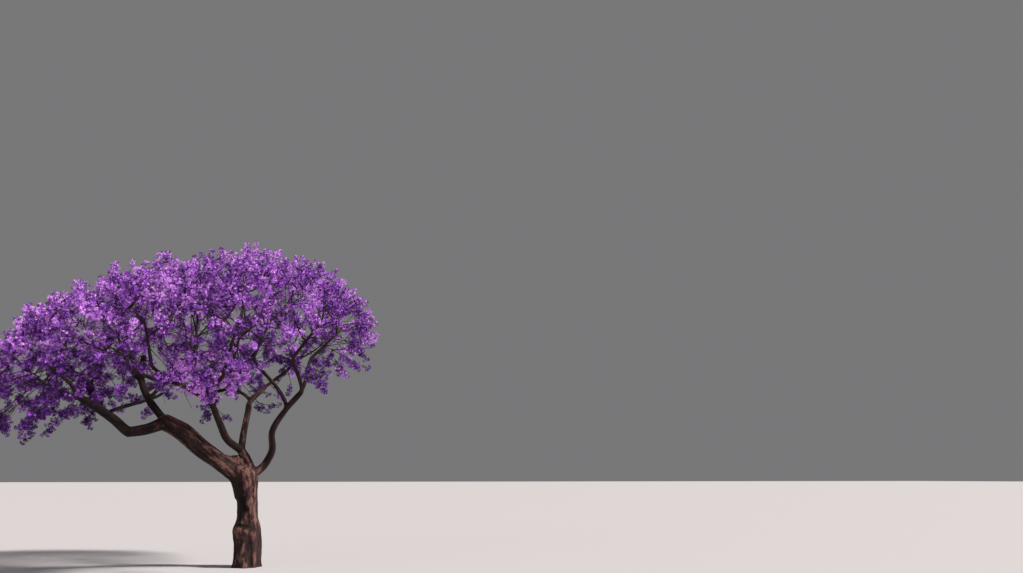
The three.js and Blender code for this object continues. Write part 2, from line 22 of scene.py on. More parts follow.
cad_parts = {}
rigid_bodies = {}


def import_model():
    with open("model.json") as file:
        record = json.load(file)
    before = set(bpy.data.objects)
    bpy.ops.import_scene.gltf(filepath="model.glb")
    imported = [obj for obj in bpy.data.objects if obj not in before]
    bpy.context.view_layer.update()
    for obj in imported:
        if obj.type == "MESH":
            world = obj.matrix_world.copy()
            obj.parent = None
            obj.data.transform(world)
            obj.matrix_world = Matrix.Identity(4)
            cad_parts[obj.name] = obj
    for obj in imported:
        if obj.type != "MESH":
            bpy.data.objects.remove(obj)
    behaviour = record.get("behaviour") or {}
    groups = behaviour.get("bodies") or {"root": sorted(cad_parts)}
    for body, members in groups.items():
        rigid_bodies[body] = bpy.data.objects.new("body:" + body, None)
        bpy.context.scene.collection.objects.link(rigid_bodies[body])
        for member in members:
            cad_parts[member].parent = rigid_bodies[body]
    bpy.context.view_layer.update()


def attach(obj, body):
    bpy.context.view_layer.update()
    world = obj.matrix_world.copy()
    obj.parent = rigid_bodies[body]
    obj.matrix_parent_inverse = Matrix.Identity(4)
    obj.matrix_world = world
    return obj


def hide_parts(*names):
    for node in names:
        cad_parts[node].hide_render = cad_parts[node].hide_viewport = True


LOG = logging.getLogger("tree")
MM = 0.001
MASK = 0xFFFFFFFF
STEEP = 0.8
FULL_TURN = 2.0 * math.pi
GOLDEN_ANGLE = math.pi * (3.0 - math.sqrt(5.0))
UP = np.array([0.0, 0.0, 1.0])
Array = np.ndarray
Pair = tuple[float, float]
Triple = tuple[float, float, float]
Colour = Triple
Piece = bpy.types.Object
Socket = bpy.types.NodeSocket
Rows = dict[str, Array]


class Slot(Enum):
    """The record's material slots."""

    BARK = "bark"
    BLOSSOM = "blossom"


class Tint(Enum):
    """The tints that the panicles are dealt, palest first; the palest is partly painted light and the
    darkest are partly painted shade.
    """

    PALE = "pale"
    LILAC = "lilac"
    VIOLET = "violet"
    DEEP = "deep"
    SHADE = "shade"


# PALE is partly painted light, and DEEP and SHADE are partly painted shade, besides the petals' own
# range of tints.
PALETTE: dict[Tint, Colour] = {
    Tint.PALE: (0.86, 0.42, 1.0),
    Tint.LILAC: (0.505, 0.152, 0.8),
    Tint.VIOLET: (0.25, 0.06, 0.48),
    Tint.DEEP: (0.11, 0.02, 0.185),
    Tint.SHADE: (0.05, 0.012, 0.105),
}


def unit(vector: Array) -> Array:
    """Return the vectors scaled to length one, along the last axis."""
    return vector / np.linalg.norm(vector, axis=-1, keepdims=True)


def span(vector: Array) -> float:
    """Return the length of one vector."""
    return float(np.linalg.norm(vector))


def smoothstep(low: float, high: float, value: Array) -> Array:
    """Return a smooth rise from 0 at low to 1 at high."""
    share = np.clip((value - low) / (high - low), 0.0, 1.0)
    return share * share * (3.0 - 2.0 * share)


def turns(count: int) -> Array:
    """Return the angles that divide a full turn evenly."""
    return np.arange(count) * FULL_TURN / count


def wrapped(degrees: Array) -> Array:
    """Return angles in degrees, brought between -180 and 180."""
    return (degrees + 180.0) % 360.0 - 180.0


def across(along: Array) -> Array:
    """Return one unit vector square to each of the given ones, (n, 3)."""
    steep = np.abs(along[:, 2:3]) > STEEP
    reference = np.where(steep, np.array([1.0, 0.0, 0.0]), UP)
    return unit(np.cross(along, reference))


def sides_of(places: Array, directions: Array) -> Array:
    """Return vectors square to a line's directions, turned little from one to the next."""
    side = across(unit(places[-1:] - places[:1]))
    return unit(side - directions * (directions @ side[0])[:, None])


def circles(centres: Array, side: Array, other: Array, radii: Array, sides: int) -> Array:
    """Return points round each centre, (..., sides, 3), in the plane of side and other."""
    angles = turns(sides)[:, None]
    turned = side[..., None, :] * np.cos(angles) + other[..., None, :] * np.sin(angles)
    return centres[..., None, :] + turned * radii[..., None, None]


@dataclass(frozen=True)
class Fade:
    """A smooth rise to an amount, between a low and a high value."""

    amount: float
    low: float
    high: float

    def at(self, value: Array) -> Array:
        """Return how far the rise has come at each value."""
        return self.amount * smoothstep(self.low, self.high, value)


class SeededRandom:
    """A random number source that gives the same numbers for the same seed."""

    STEP = 0x6D2B79F5

    def __init__(self, seed: int) -> None:
        """Start from the seed."""
        self.state = seed & MASK

    def __call__(self) -> float:
        """Mix the state on.

        Returns:
            The next number, from 0 up to 1.
        """
        self.state = (self.state + self.STEP) & MASK
        mixed = self.state
        mixed = ((mixed ^ (mixed >> 15)) * (mixed | 1)) & MASK
        mixed ^= (mixed + (((mixed ^ (mixed >> 7)) * (mixed | 61)) & MASK)) & MASK
        return ((mixed ^ (mixed >> 14)) & MASK) / 2**32


class Curve:
    """A curve that can be walked by its length."""

    DIVISIONS = 200
    NEARBY = 1e-4

    def __init__(self, point: Callable[[float], Array]) -> None:
        """Measure the curve.

        Args:
            point: The place at a parameter from 0 to 1.
        """
        self.point = point
        table = np.array([point(i / self.DIVISIONS) for i in range(self.DIVISIONS + 1)])
        steps = np.linalg.norm(np.diff(table, axis=0), axis=1)
        self.lengths = np.concatenate([[0.0], np.cumsum(steps)])
        self.length = float(self.lengths[-1])

    def parameter(self, distance: float) -> float:
        """Find a place by its distance.

        Args:
            distance: How far along the curve the place is.

        Returns:
            The curve's parameter there.
        """
        distance = min(max(distance, 0.0), self.length)
        index = int(np.searchsorted(self.lengths, distance, side="right")) - 1
        index = min(index, self.DIVISIONS - 1)
        before, after = self.lengths[index], self.lengths[index + 1]
        return float((index + (distance - before) / (after - before)) / self.DIVISIONS)

    def at(self, distance: float) -> Array:
        """Return the place at a distance along the curve."""
        return self.point(self.parameter(distance))

    def direction(self, distance: float) -> Array:
        """Return the unit direction at a distance along the curve."""
        parameter = self.parameter(distance)
        ahead = self.point(min(1.0, parameter + self.NEARBY))
        return unit(ahead - self.point(max(0.0, parameter - self.NEARBY)))


def smooth_through(points: Sequence[Array]) -> Curve:
    """Return a smooth curve through the points.

    Args:
        points: At least two places.

    Returns:
        A centripetal curve with its ends carried straight on.
    """
    knots = [2 * points[0] - points[1], *points, 2 * points[-1] - points[-2]]
    last = len(points) - 1

    def point(parameter: float) -> Array:
        """Return the place at a parameter, on the cubic between the two points beside it."""
        place = parameter * last
        index = min(int(place), last - 1)
        w = place - index
        a, b, c, d = knots[index : index + 4]
        ab, bc, cd = (math.dist(p, q) ** 0.5 for p, q in ((a, b), (b, c), (c, d)))
        enter = ((b - a) / ab - (c - a) / (ab + bc) + (c - b) / bc) * bc
        leave = ((c - b) / bc - (d - b) / (bc + cd) + (d - c) / cd) * bc
        square = 3 * (c - b) - 2 * enter - leave
        return b + enter * w + square * w**2 + (2 * (b - c) + enter + leave) * w**3

    return Curve(point)


def bent_between(a: Array, b: Array, c: Array, d: Array) -> Curve:
    """Return a curve from a to d that leaves towards b and arrives from c."""

    def point(t: float) -> Array:
        """Return the place at a parameter."""
        u = 1.0 - t
        return u**3 * a + 3 * u * u * t * b + 3 * u * t * t * c + t**3 * d

    return Curve(point)


@dataclass(frozen=True)
class Trunk:
    """The trunk, in millimetres: stout below, narrow at the waist, leaning left to a low fork.

    A dent is (height, heading, depth, half height, half width), with the heading and the half
    width in degrees. A step of the dome is (how far above the fork, how wide), in shares of the
    radius.
    """

    height: float = 2240.0
    waist_radius: float = 250.0
    barrel_extra: float = 62.0
    barrel_top: Pair = (850.0, 1300.0)
    barrel_shorter: float = 170.0
    fork_extra: float = 75.0
    fork_start: float = 1600.0
    flare: float = 30.0
    flare_height: float = 130.0
    lean: float = 238.0
    lean_from: float = 2250.0
    lean_power: float = 2.6
    buttresses: int = 5
    buttress: float = 26.0
    buttress_height: float = 420.0
    buttress_turn: float = 0.7
    flutes: int = 7
    flute: float = 11.0
    flute_pitch: float = 420.0
    burl: float = 60.0
    burl_angle: float = -155.0
    burl_height: float = 860.0
    burl_spread: float = 230.0
    fold: float = 40.0
    fold_from: Pair = (1050.0, 1450.0)
    fold_angles: Pair = (-95.0, -131.0)
    fold_heights: Pair = (1150.0, 2100.0)
    fold_width: float = 19.0
    crease: float = 0.7
    crease_power: int = 4
    dent_slant: float = 14.0
    dents: tuple[tuple[float, float, float, float, float], ...] = (
        (955, -104, 30, 42, 24),
        (1000, -150, 20, 34, 26),
        (900, -74, 20, 75, 11),
        (985, -58, 14, 40, 17),
        (770, -118, 15, 46, 14),
        (680, -160, 12, 60, 15),
        (1075, -118, -16, 55, 15),
        (865, -146, -15, 60, 14),
        (850, -98, -12, 50, 10),
    )
    sides: int = 110
    rings: int = 120
    dome: tuple[Pair, ...] = ((0.3, 0.93), (0.5, 0.82), (0.8, 0.45), (0.88, 0.2))
    below: float = 90.0

    def centre(self, z: float) -> Array:
        """Return the middle of the trunk at a height."""
        share = max(z, 0.0) / self.lean_from
        return np.array([-self.lean * share**self.lean_power, 0.0, z])

    def fold_share(self, z: Array, angle: Array) -> Array:
        """Follow the fold up the trunk's front, where two stems have grown together.

        Args:
            z: Heights.
            angle: Angles round the trunk, from +X towards +Y.

        Returns:
            How deep in the fold each place lies, from 0 to 1.
        """
        low, high = self.fold_heights
        first, last = self.fold_angles
        turn = first + (last - first) * (z - low) / (high - low)
        off = (wrapped(np.degrees(angle)) - turn) / self.fold_width
        return smoothstep(*self.fold_from, z) * np.exp(-(off**2))

    def creases(self, z: Array, angle: Array) -> Array:
        """Dent the skin round the burl and along the fold, more finely than the solid.

        Args:
            z: Heights.
            angle: Angles round the trunk, from +X towards +Y.

        Returns:
            How deep each place is dented.
        """
        degrees = np.degrees(angle)
        depth = self.crease * self.fold * self.fold_share(z, angle) ** self.crease_power
        for height, middle, deep, tall, wide in self.dents:
            off = wrapped(degrees - middle) / wide
            rise = (z - height + self.dent_slant * off) / tall
            depth = depth + deep * np.exp(-(off**2) - rise**2)
        return depth

    def radius(self, z: float, angle: Array) -> Array:
        """Return how far the bark stands out.

        Args:
            z: The height.
            angle: Angles round the trunk, from +X towards +Y.

        Returns:
            The radius at each angle.
        """
        to_burl = np.maximum(0.0, np.cos(angle - math.radians(self.burl_angle))) ** 2
        fade_from, fade_to = self.barrel_top
        barrel_end = fade_to - self.barrel_shorter * to_burl
        barrel = self.barrel_extra * (1.0 - smoothstep(fade_from, barrel_end, z))
        fork = self.fork_extra * smoothstep(self.fork_start, self.height, z)
        flare = self.flare * math.exp(-z / self.flare_height)
        lobes = self.buttress * math.exp(-z / self.buttress_height)
        lobes = lobes * np.cos(self.buttresses * angle + self.buttress_turn)
        flutes = self.flute * np.cos(self.flutes * angle + z / self.flute_pitch)
        rise = (z - self.burl_height) / self.burl_spread
        burl = self.burl * to_burl * math.exp(-(rise**2))
        fold = self.fold * self.fold_share(z, angle)
        return self.waist_radius + barrel + fork + flare + lobes + flutes + burl - fold

    def back_radius(self, z: float) -> float:
        """Return how far the bark stands out at the back, away from burl and fold."""
        return float(self.radius(z, np.array(math.pi / 2)))

    def rings_for_skin(self) -> Array:
        """Lay out the trunk's skin, run on below the ground and domed over the fork.

        Returns:
            Rings of points, (rings, sides, 3).
        """
        angles = np.linspace(0.0, FULL_TURN, self.sides, endpoint=False)
        circle = np.stack([np.cos(angles), np.sin(angles), 0.0 * angles], axis=1)
        steps = [(-self.below, 0.0, 1.0)]
        steps += [(z, z, 1.0) for z in np.linspace(0.0, self.height, self.rings)]
        for onward, share in self.dome:
            steps.append((self.height + onward * self.waist_radius, self.height, share))
        rings = []
        for z, measured, share in steps:
            reach = share * (self.radius(measured, angles) - self.creases(measured, angles))
            rings.append(self.centre(z) + circle * reach[:, None])
        return np.array(rings)


@dataclass
class Limb:
    """A limb with a taper, swollen where it leaves its parent. Sizes are in millimetres."""

    curve: Curve
    radii: Pair
    parent_radius: float
    collar_extra: float = 0.28
    collar_reach: float = 1.3
    collar_flush: float = 0.97
    swell: float = field(init=False)
    length: float = field(init=False)

    def __post_init__(self) -> None:
        """Work out how much the collar may swell."""
        self.length = self.curve.length
        room = self.collar_flush * self.parent_radius / self.radii[0] - 1.0
        self.swell = max(0.0, min(self.collar_extra, room))

    def radius(self, distance: float) -> float:
        """Return the limb's radius at a distance along it."""
        base, tip = self.radii
        swell = self.swell * math.exp(-distance / (self.collar_reach * base))
        return (base + (tip - base) * (distance / self.length)) * (1.0 + swell)

    def walk(self, spacing: float) -> tuple[Array, Array, Array, Array]:
        """Sample the limb evenly.

        Args:
            spacing: The most between two samples.

        Returns:
            Distances (n,), places (n, 3), directions (n, 3) and radii (n,).
        """
        count = math.ceil(self.length / spacing) + 1
        distances = np.linspace(0.0, self.length, count)
        places = np.array([self.curve.at(s) for s in distances])
        directions = np.array([self.curve.direction(s) for s in distances])
        return distances, places, directions, np.array([self.radius(s) for s in distances])


@dataclass(frozen=True)
class Mass:
    """One mass of blossom: its middle in plan, how far its sprays hang, and what carries it.

    Lush is the share of its low sprays that bloom.
    """

    name: str
    x: float
    y: float
    lift: float
    hang: float
    parent: str
    along: float
    seed: int
    lush: float


@dataclass(frozen=True)
class Crown:
    """The crown's outline, in millimetres: a wide shallow dome that is hollow below.

    A row of the plan is a mass: its name, its middle as a share of the crown's reach and a
    heading in degrees, the limb that carries it, how far along that limb, how much higher than
    the dome it is, how far its lowest sprays hang, and how lush it is.
    """

    middle: Pair = (-1650.0, 0.0)
    reach: Pair = (4650.0, 4300.0)
    rim_height: float = 5350.0
    rim_slope: float = 0.14
    rise: float = 2560.0
    fullness: float = 2.6
    lip_height: float = 4180.0
    lip_slope: float = 0.17
    lip_curl: float = 560.0
    hollow: float = 1450.0
    sag: float = 1200.0
    sag_middle: Pair = (-1050.0, -1500.0)
    sag_reach: float = 1080.0
    lane: float = 30.0
    lump: float = 210.0
    lump_reach: float = 1300.0
    hang_share: float = 0.3
    hang_power: float = 1.5
    heart: float = 0.35
    first_seed: int = 101
    seed_step: int = 37
    plan: tuple[tuple[str, float, float, str, float, float, float, float], ...] = (
        ("right", 0.79, 2, "bough_right", 1.0, 60, 300, 0.25),
        ("right_back", 0.8, 38, "bough_back", 1.0, -60, 150, 0.4),
        ("back_right", 0.79, 74, "bough_back", 0.7, 90, 250, 0.7),
        ("back_left", 0.8, 108, "bough_left_back", 0.66, -40, 250, 0.25),
        ("left_back", 0.79, 144, "bough_left_back", 1.0, 80, 350, 1.0),
        ("left", 0.8, 181, "bough_left_outer", 1.0, -70, 650, 0.6),
        ("left_front", 0.8, 215, "bough_left_outer", 1.0, -220, 700, 0.4),
        ("front_left", 0.79, 251, "bough_front", 1.0, -120, 350, 0.3),
        ("front_right", 0.8, 287, "bough_front", 1.0, 70, 250, 0.25),
        ("right_front", 0.79, 325, "bough_right", 1.0, 120, 650, 0.35),
        ("inner_right", 0.42, 20, "bough_right", 0.78, 300, 400, 0.3),
        ("inner_back", 0.4, 92, "bough_left_rise", 0.5, -60, 500, 0.25),
        ("inner_left", 0.42, 164, "bough_left_rise", 0.62, -120, 600, 0.4),
        ("inner_front_left", 0.4, 236, "bough_front", 0.8, 0, 200, 0.3),
        ("inner_front_right", 0.41, 306, "bough_front", 1.0, 150, 250, 0.3),
        ("top", 0.05, 90, "bough_left_rise", 0.38, 0, 0, 0.3),
    )

    def masses(self) -> list[Mass]:
        """Place the masses of the plan.

        Returns:
            The masses with their middles in plan and their seeds.
        """
        found = []
        for index, row in enumerate(self.plan):
            name, share, angle, parent, along, lift, hang, lush = row
            turn = math.radians(angle)
            x = self.middle[0] + self.reach[0] * share * math.cos(turn)
            y = self.middle[1] + self.reach[1] * share * math.sin(turn)
            seed = self.first_seed + self.seed_step * index
            found.append(Mass(name, x, y, lift, hang, parent, along, seed, lush))
        return found

    def share(self, x: float, y: float) -> float:
        """Return the share of the way from the crown's middle to its rim, in plan."""
        (middle_x, middle_y), (reach_x, reach_y) = self.middle, self.reach
        return math.hypot((x - middle_x) / reach_x, (y - middle_y) / reach_y)

    def top(self, mass: Mass, x: float, y: float) -> float:
        """Return the height of the dome at a place in plan; it swells over each mass."""
        share = min(1.0, self.share(x, y))
        dome = self.rise * math.sqrt(1.0 - share**self.fullness)
        off = math.hypot(x - mass.x, y - mass.y) / self.lump_reach
        return self.rim_height + self.rim_slope * x + dome + mass.lift - self.lump * off**2

    def sagging(self, x: float, y: float) -> float:
        """Return how far the underside has come down in its sag, as a share of the deepest."""
        sag_x, sag_y = self.sag_middle
        return math.exp(-((math.hypot(x - sag_x, y - sag_y) / self.sag_reach) ** 2))

    def under(self, x: float, y: float) -> float:
        """Return the height of the underside: a hollow, a sag and a lip that curls up."""
        share = min(1.0, self.share(x, y))
        curl = self.lip_curl * (max(0.0, x) / (self.middle[0] + self.reach[0])) ** 2
        hollow = self.hollow * (1.0 - share**2) - self.sag * self.sagging(x, y)
        return self.lip_height + self.lip_slope * x + curl + hollow

    def place(self, mass: Mass, x: float, y: float, share: float) -> Array:
        """Return a place at a share of a mass's depth; the lowest hang out of the mass."""
        under = self.under(x, y)
        hang = mass.hang * max(0.0, 1.0 - share / self.hang_share) ** self.hang_power
        return np.array([x, y, under + (self.top(mass, x, y) - under) * share - hang])

    def height_share(self, mass: Mass, place: Array) -> float:
        """Return the share of the crown's depth that a place in a mass has below it."""
        under = self.under(place[0], place[1])
        return (place[2] - under) / (self.top(mass, place[0], place[1]) - under)

    def heart_of(self, mass: Mass) -> Array:
        """Return the middle of a mass's space, where its stem ends."""
        under = self.under(mass.x, mass.y)
        depth = self.top(mass, mass.x, mass.y) - under
        return np.array([mass.x, mass.y, under + depth * self.heart])


@dataclass
class LimbPlan:
    """Lays out every limb, each after its parent. Lengths are in millimetres.

    A main limb is its name, where it starts or the limb that it goes on from, its first and last
    radius, and its legs. A leg is (length, heading, climb): degrees from +X towards +Y, and above
    level. A bough's tip is as thick as a fork that carries a whole mass.
    """

    trunk: Trunk
    crown: Crown
    masses: list[Mass]
    bough_base: float = 54.0
    bough_tip: float = 18.0 * 21.0**0.3
    bough_flush: float = 0.97
    bough_lead: float = 0.6
    bough_bends: Pair = (0.30, 0.15)
    bough_entry: float = 0.8
    bough_drop: float = 120.0
    spacing: float = 60.0
    main: tuple[tuple[str, object, Pair, tuple[tuple[float, ...], ...]], ...] = (
        ("shoulder", (-130, 0, 1700), (160, 128), ((370, 0, 73), (160, 0, 81))),
        (
            "bough_left", (-150, 0, 1680), (240, 196),
            ((520, 186, 67), (602, 190, 37), (563, 192, 35), (571, 194, 40), (476, 187, 29)),
        ),
        ("bough_left_elbow", "bough_left", (146, 124), ((450, 208, -24), (434, 201, -11))),
        (
            "bough_left_outer", "bough_left_elbow", (118, 86),
            ((448, 197, 40), (450, 195, 34), (415, 196, 29)),
        ),
        (
            "bough_left_back", "bough_left_elbow", (96, 66),
            ((874, 121, 20), (937, 117, 17), (599, 117, 21)),
        ),
        ("bough_left_rise", "bough_left", (98, 72), ((869, 137, 41), (656, 131, 53), (699, 98, 62))),
        ("bough_middle", "shoulder", (118, 102), ((490, 180, 63), (190, 180, 54))),
        (
            "bough_front", "bough_middle", (96, 72),
            ((520, 221, 29), (450, 227, 52), (650, 231, 54), (260, 250, 35)),
        ),
        (
            "bough_back", "bough_middle", (90, 68),
            ((410, 84, 61), (760, 80, 58), (420, 85, 44), (700, 52, 38)),
        ),
        (
            "bough_right", "shoulder", (98, 70),
            ((312, 0, 40), (440, 322, 59), (514, 261, 68), (575, 335, 60), (626, 334, 49)),
        ),
    )
    limbs: dict[str, Limb] = field(default_factory=dict)

    def __post_init__(self) -> None:
        """Lay out the limbs and the points that stand for them in clearance tests."""
        for name, start, radii, legs in self.main:
            if isinstance(start, str):
                parent = self.limbs[start]
                origin, parent_radius = parent.curve.at(parent.length), parent.radii[1]
            else:
                origin, parent_radius = np.array(start, float), self.trunk.back_radius(start[2])
            curve = smooth_through(self.points_of_legs(origin, legs))
            self.limbs[name] = Limb(curve, radii, parent_radius)
        for mass in self.masses:
            self.limbs["bough_to_" + mass.name] = self.bough_for(mass)
        heights = np.arange(0.0, self.trunk.height + 1.0, self.spacing)
        places = [np.array([self.trunk.centre(z) for z in heights])]
        radii = [np.array([self.trunk.back_radius(z) + self.trunk.flute for z in heights])]
        for limb in self.limbs.values():
            _, along, _, thick = limb.walk(self.spacing)
            places.append(along)
            radii.append(thick)
        self.stand_places = np.concatenate(places)
        self.stand_radii = np.concatenate(radii)

    @staticmethod
    def points_of_legs(start: Array, legs: Sequence[Sequence[float]]) -> list[Array]:
        """Follow the legs of a limb.

        Args:
            start: Where the limb starts.
            legs: Its legs in order.

        Returns:
            The start and the end of each leg.
        """
        points = [start]
        for length, heading, climb in legs:
            turn, rise = math.radians(heading), math.radians(climb)
            level = length * math.cos(rise)
            step = [level * math.cos(turn), level * math.sin(turn), length * math.sin(rise)]
            points.append(points[-1] + np.array(step))
        return points

    def bough_for(self, mass: Mass) -> Limb:
        """Lay out the bough that carries a mass.

        Args:
            mass: The mass.

        Returns:
            A limb from its parent to just under the mass.
        """
        parent = self.limbs[mass.parent]
        leaves_at = parent.length * mass.along
        origin = parent.curve.at(leaves_at)
        middle_x, middle_y = self.crown.middle
        x = middle_x + (mass.x - middle_x) * self.bough_entry
        y = middle_y + (mass.y - middle_y) * self.bough_entry
        end = np.array([x, y, self.crown.under(x, y) - self.bough_drop])
        reach = span(end - origin)
        ahead = parent.curve.direction(leaves_at)
        leaves = unit(ahead * self.bough_lead + unit(end - origin))
        enters = unit(self.crown.heart_of(mass) - end)
        first, last = (reach * share for share in self.bough_bends)
        curve = bent_between(origin, origin + leaves * first, end - enters * last, end)
        parent_radius = parent.radius(leaves_at)
        base = min(self.bough_base, self.bough_flush * parent_radius)
        return Limb(curve, (base, self.bough_tip), parent_radius)

    def clearance(self, probes: Array) -> float:
        """Return how far the nearest of the places lies outside every limb."""
        gaps = np.linalg.norm(probes[:, None, :] - self.stand_places[None], axis=2)
        return float((gaps - self.stand_radii).min())


@dataclass
class Fork:
    """A straight piece of a mass's framework, which other twigs leave."""

    start: Array
    end: Array
    path: float
    parent: Optional["Fork"] = None
    tips: int = 0
    twig: Optional["Branchlet"] = None


@dataclass
class Branchlet:
    """A twig that carries one spray of panicles."""

    start: Array
    leaves: Array
    middle: Array
    site: Array
    axis: Array
    half: Triple
    panicles: int
    arch: float = 0.0
    # Painted light: glow makes a spray's tints paler.
    glow: float = 0.0
    bears: bool = False
    shown: bool = True
    into_spray: float = 0.55
    leads: float = 0.22
    arrives: float = 0.45

    def line(self, shares: Array) -> Array:
        """Follow the twig, which leaves its fork forwards and bends to its spray.

        Args:
            shares: Shares of its length.

        Returns:
            The places there, (n, 3).
        """
        end = self.middle + (self.site - self.middle) * self.into_spray
        reach = span(end - self.start)
        bend = self.start + self.leaves * reach * self.leads
        bend = bend + (end - self.axis * reach * self.arrives - bend) * 0.5
        bend[2] += self.arch * reach
        t = shares[:, None]
        return (1 - t) ** 2 * self.start + 2 * t * (1 - t) * bend + t**2 * end


@dataclass
class MassTwigs:
    """What has grown in one mass."""

    mass: Mass
    stem: Fork
    forks: list[Fork] = field(default_factory=list)
    branchlets: list[Branchlet] = field(default_factory=list)


@dataclass
class Growth:
    """The seeded rule by which the twigs of a mass grow. Lengths are in millimetres."""

    crown: Crown
    plan: LimbPlan
    masses: list[Mass]
    spray_length: float = 720.0
    spray_width: float = 490.0
    spray_thickness: float = 350.0
    spray_lift: float = 0.35
    fork_radius: float = 18.0
    power: float = 0.3
    fork_count: int = 6
    site_count: int = 44
    tip_count: int = 21
    spacing: float = 190.0
    tries: int = 10
    clear: float = 25.0
    probes: int = 12
    leaning: float = 0.6
    first_joint: float = 0.4
    path_weight: float = 0.4
    sunk: float = 0.35
    tip_radius: float = 9.0
    finer_sites: int = 36
    finer_share: float = 0.62
    finer_clear: float = 14.0
    finer_shortest: float = 230.0
    panicles_per_spray: int = 6
    panicles_per_finer: int = 3
    low_sites: tuple[int, int] = (50, 36)
    low_panicles: tuple[int, int] = (2, 2)
    crest_sites: int = 9
    crest_depth: float = 0.20
    hem_tries: int = 120
    hem_depth: float = 0.10
    hem_edge: float = 0.36
    hem_near: float = 0.015
    hem_panicles: int = 3
    # Painted light: how much paler the hem's sprays are tinted.
    hem_painted_light: float = 0.28
    arch: float = 0.42
    roam: float = 1.5
    high_tips: float = 0.6
    high_from: float = 0.75
    joint_slack: float = 0.16
    fork_reach: float = 0.82
    fork_levels: Pair = (0.35, 0.4)
    fork_girth: float = 1.5
    nearest_tip: float = 0.7
    low_reach: float = 0.97
    low_levels: tuple[Pair, ...] = ((0.04, 0.5), (0.32, 0.5))
    crest_reach: float = 0.98
    twig_shares: tuple[float, ...] = (0.35, 0.6, 0.8)
    twig_path: float = 600.0
    backwards: float = -0.999999

    def owns(self, mass: Mass, x: float, y: float, margin: float) -> bool:
        """Test whether a place keeps to a mass's own space.

        Args:
            mass: The mass.
            x: The place in plan.
            y: The place in plan.
            margin: How far inside the space's borders it has to be.

        Returns:
            Whether it does.
        """
        to_own = (x - mass.x) ** 2 + (y - mass.y) ** 2
        for other in self.masses:
            if other is mass:
                continue
            to_other = (x - other.x) ** 2 + (y - other.y) ** 2
            apart = math.hypot(other.x - mass.x, other.y - mass.y)
            if (to_other - to_own) / (2.0 * apart) <= margin:
                return False
        return True

    def draw_site(
        self, mass: Mass, reach: float, depth: Callable[[float], float], rng: SeededRandom
    ) -> Array:
        """Draw a place in a mass's space.

        Args:
            mass: The mass.
            reach: The share of the crown's reach that the place may have.
            depth: Turns a random number into a share of the crown's depth.
            rng: Random numbers.

        Returns:
            A place between the crown's underside and its top.
        """
        while True:
            turn = FULL_TURN * rng()
            off = self.crown.lump_reach * self.roam * math.sqrt(rng())
            x = mass.x + off * math.cos(turn)
            y = mass.y + off * math.sin(turn)
            share = depth(rng())
            if self.crown.share(x, y) > reach or not self.owns(mass, x, y, self.crown.lane):
                continue
            return self.crown.place(mass, x, y, share)

    def band(
        self, mass: Mass, reach: float, levels: Pair, rng: SeededRandom
    ) -> Callable[[], Array]:
        """Return a draw of places in a level band: where it starts, how much further it goes."""
        first, onward = levels
        return partial(self.draw_site, mass, reach, lambda draw: first + onward * draw, rng)

    def spread(self, sites: list[Array], count: int, draw: Callable[[], Array]) -> list[Array]:
        """Spread places evenly.

        Args:
            sites: Places that are there already.
            count: How many to add.
            draw: Draws one candidate.

        Returns:
            The added places; each is the candidate furthest from those before it.
        """
        kept = list(sites)
        for _ in range(count):
            best, widest = None, -1.0
            for _ in range(self.tries):
                site = draw()
                nearest = math.inf
                if kept:
                    nearest = float(np.linalg.norm(np.array(kept) - site, axis=1).min())
                if nearest > widest:
                    best, widest = site, nearest
            kept.append(best)
        return kept[len(sites) :]

    def tip_depth(self, draw: float) -> float:
        """Return the share of the depth for a tip: most are near the top of the crown."""
        if draw < self.high_tips:
            return self.high_from + (1.0 - self.high_from) * (draw / self.high_tips)
        return self.high_from * (draw - self.high_tips) / (1.0 - self.high_tips)

    def joint(
        self, site: Array, framework: Sequence[Fork], rng: SeededRandom
    ) -> tuple[Fork, Array, float]:
        """Find where a twig to a site best leaves the framework.

        Args:
            site: Where the twig ends.
            framework: The pieces that it may leave.
            rng: Random numbers.

        Returns:
            The piece, the place of the joint and the way back to the stem's start.
        """
        best, least = None, math.inf
        for fork in framework:
            along = fork.end - fork.start
            length = span(along)
            along = along / length
            foot = float((site - fork.start) @ along)
            out = span(site - (fork.start + along * foot))
            share = (foot - self.leaning * out) / length
            held = min(1.0 - self.joint_slack * rng(), max(self.first_joint, share))
            point = fork.start + (fork.end - fork.start) * held
            path = fork.path + held * length
            cost = span(site - point) + self.path_weight * path
            if cost < least:
                best, least = (fork, point, path), cost
        return best

    def fits(self, corners: Array, start: Array, end: Array, mass: Mass) -> bool:
        """Test whether a small piece keeps to its mass's space and clear of every limb.

        Args:
            corners: The corners of the piece, (n, 3).
            start: One end of the line through it.
            end: The other end.
            mass: The mass.

        Returns:
            Whether it does.
        """
        for x, y, _ in corners:
            if not self.owns(mass, x, y, self.crown.lane / 2.0):
                return False
        shares = np.arange(1, self.probes + 1)[:, None] / self.probes
        probes = np.concatenate([corners, start + (end - start) * shares])
        return self.plan.clearance(probes) > self.clear

    def bar_corners(self, start: Array, end: Array, radius: float, tip: float) -> Array:
        """Find the corners of a straight three-sided twig, turned as the solids' are.

        Args:
            start: Where it starts.
            end: Where it ends.
            radius: Its radius at the start.
            tip: Its radius at the end.

        Returns:
            Its corners and its two ends, (8, 3).
        """
        along = unit(end - start)
        if along[1] < self.backwards:
            turned = np.array([[1.0, 0, 0], [0, 0, 0], [0, 0, -1.0]])
        else:
            shift = 1.0 / (1.0 + along[1])
            turned = np.array(
                [
                    [1.0 - along[0] ** 2 * shift, -along[0], -along[0] * along[2] * shift],
                    [along[0], along[1], along[2]],
                    [-along[0] * along[2] * shift, -along[2], 1.0 - along[2] ** 2 * shift],
                ]
            )
        angles = turns(3)[:, None]
        ring = np.sin(angles) * turned[0] + np.cos(angles) * turned[2]
        return np.concatenate([start + ring * radius, end + ring * tip, [start, end]])

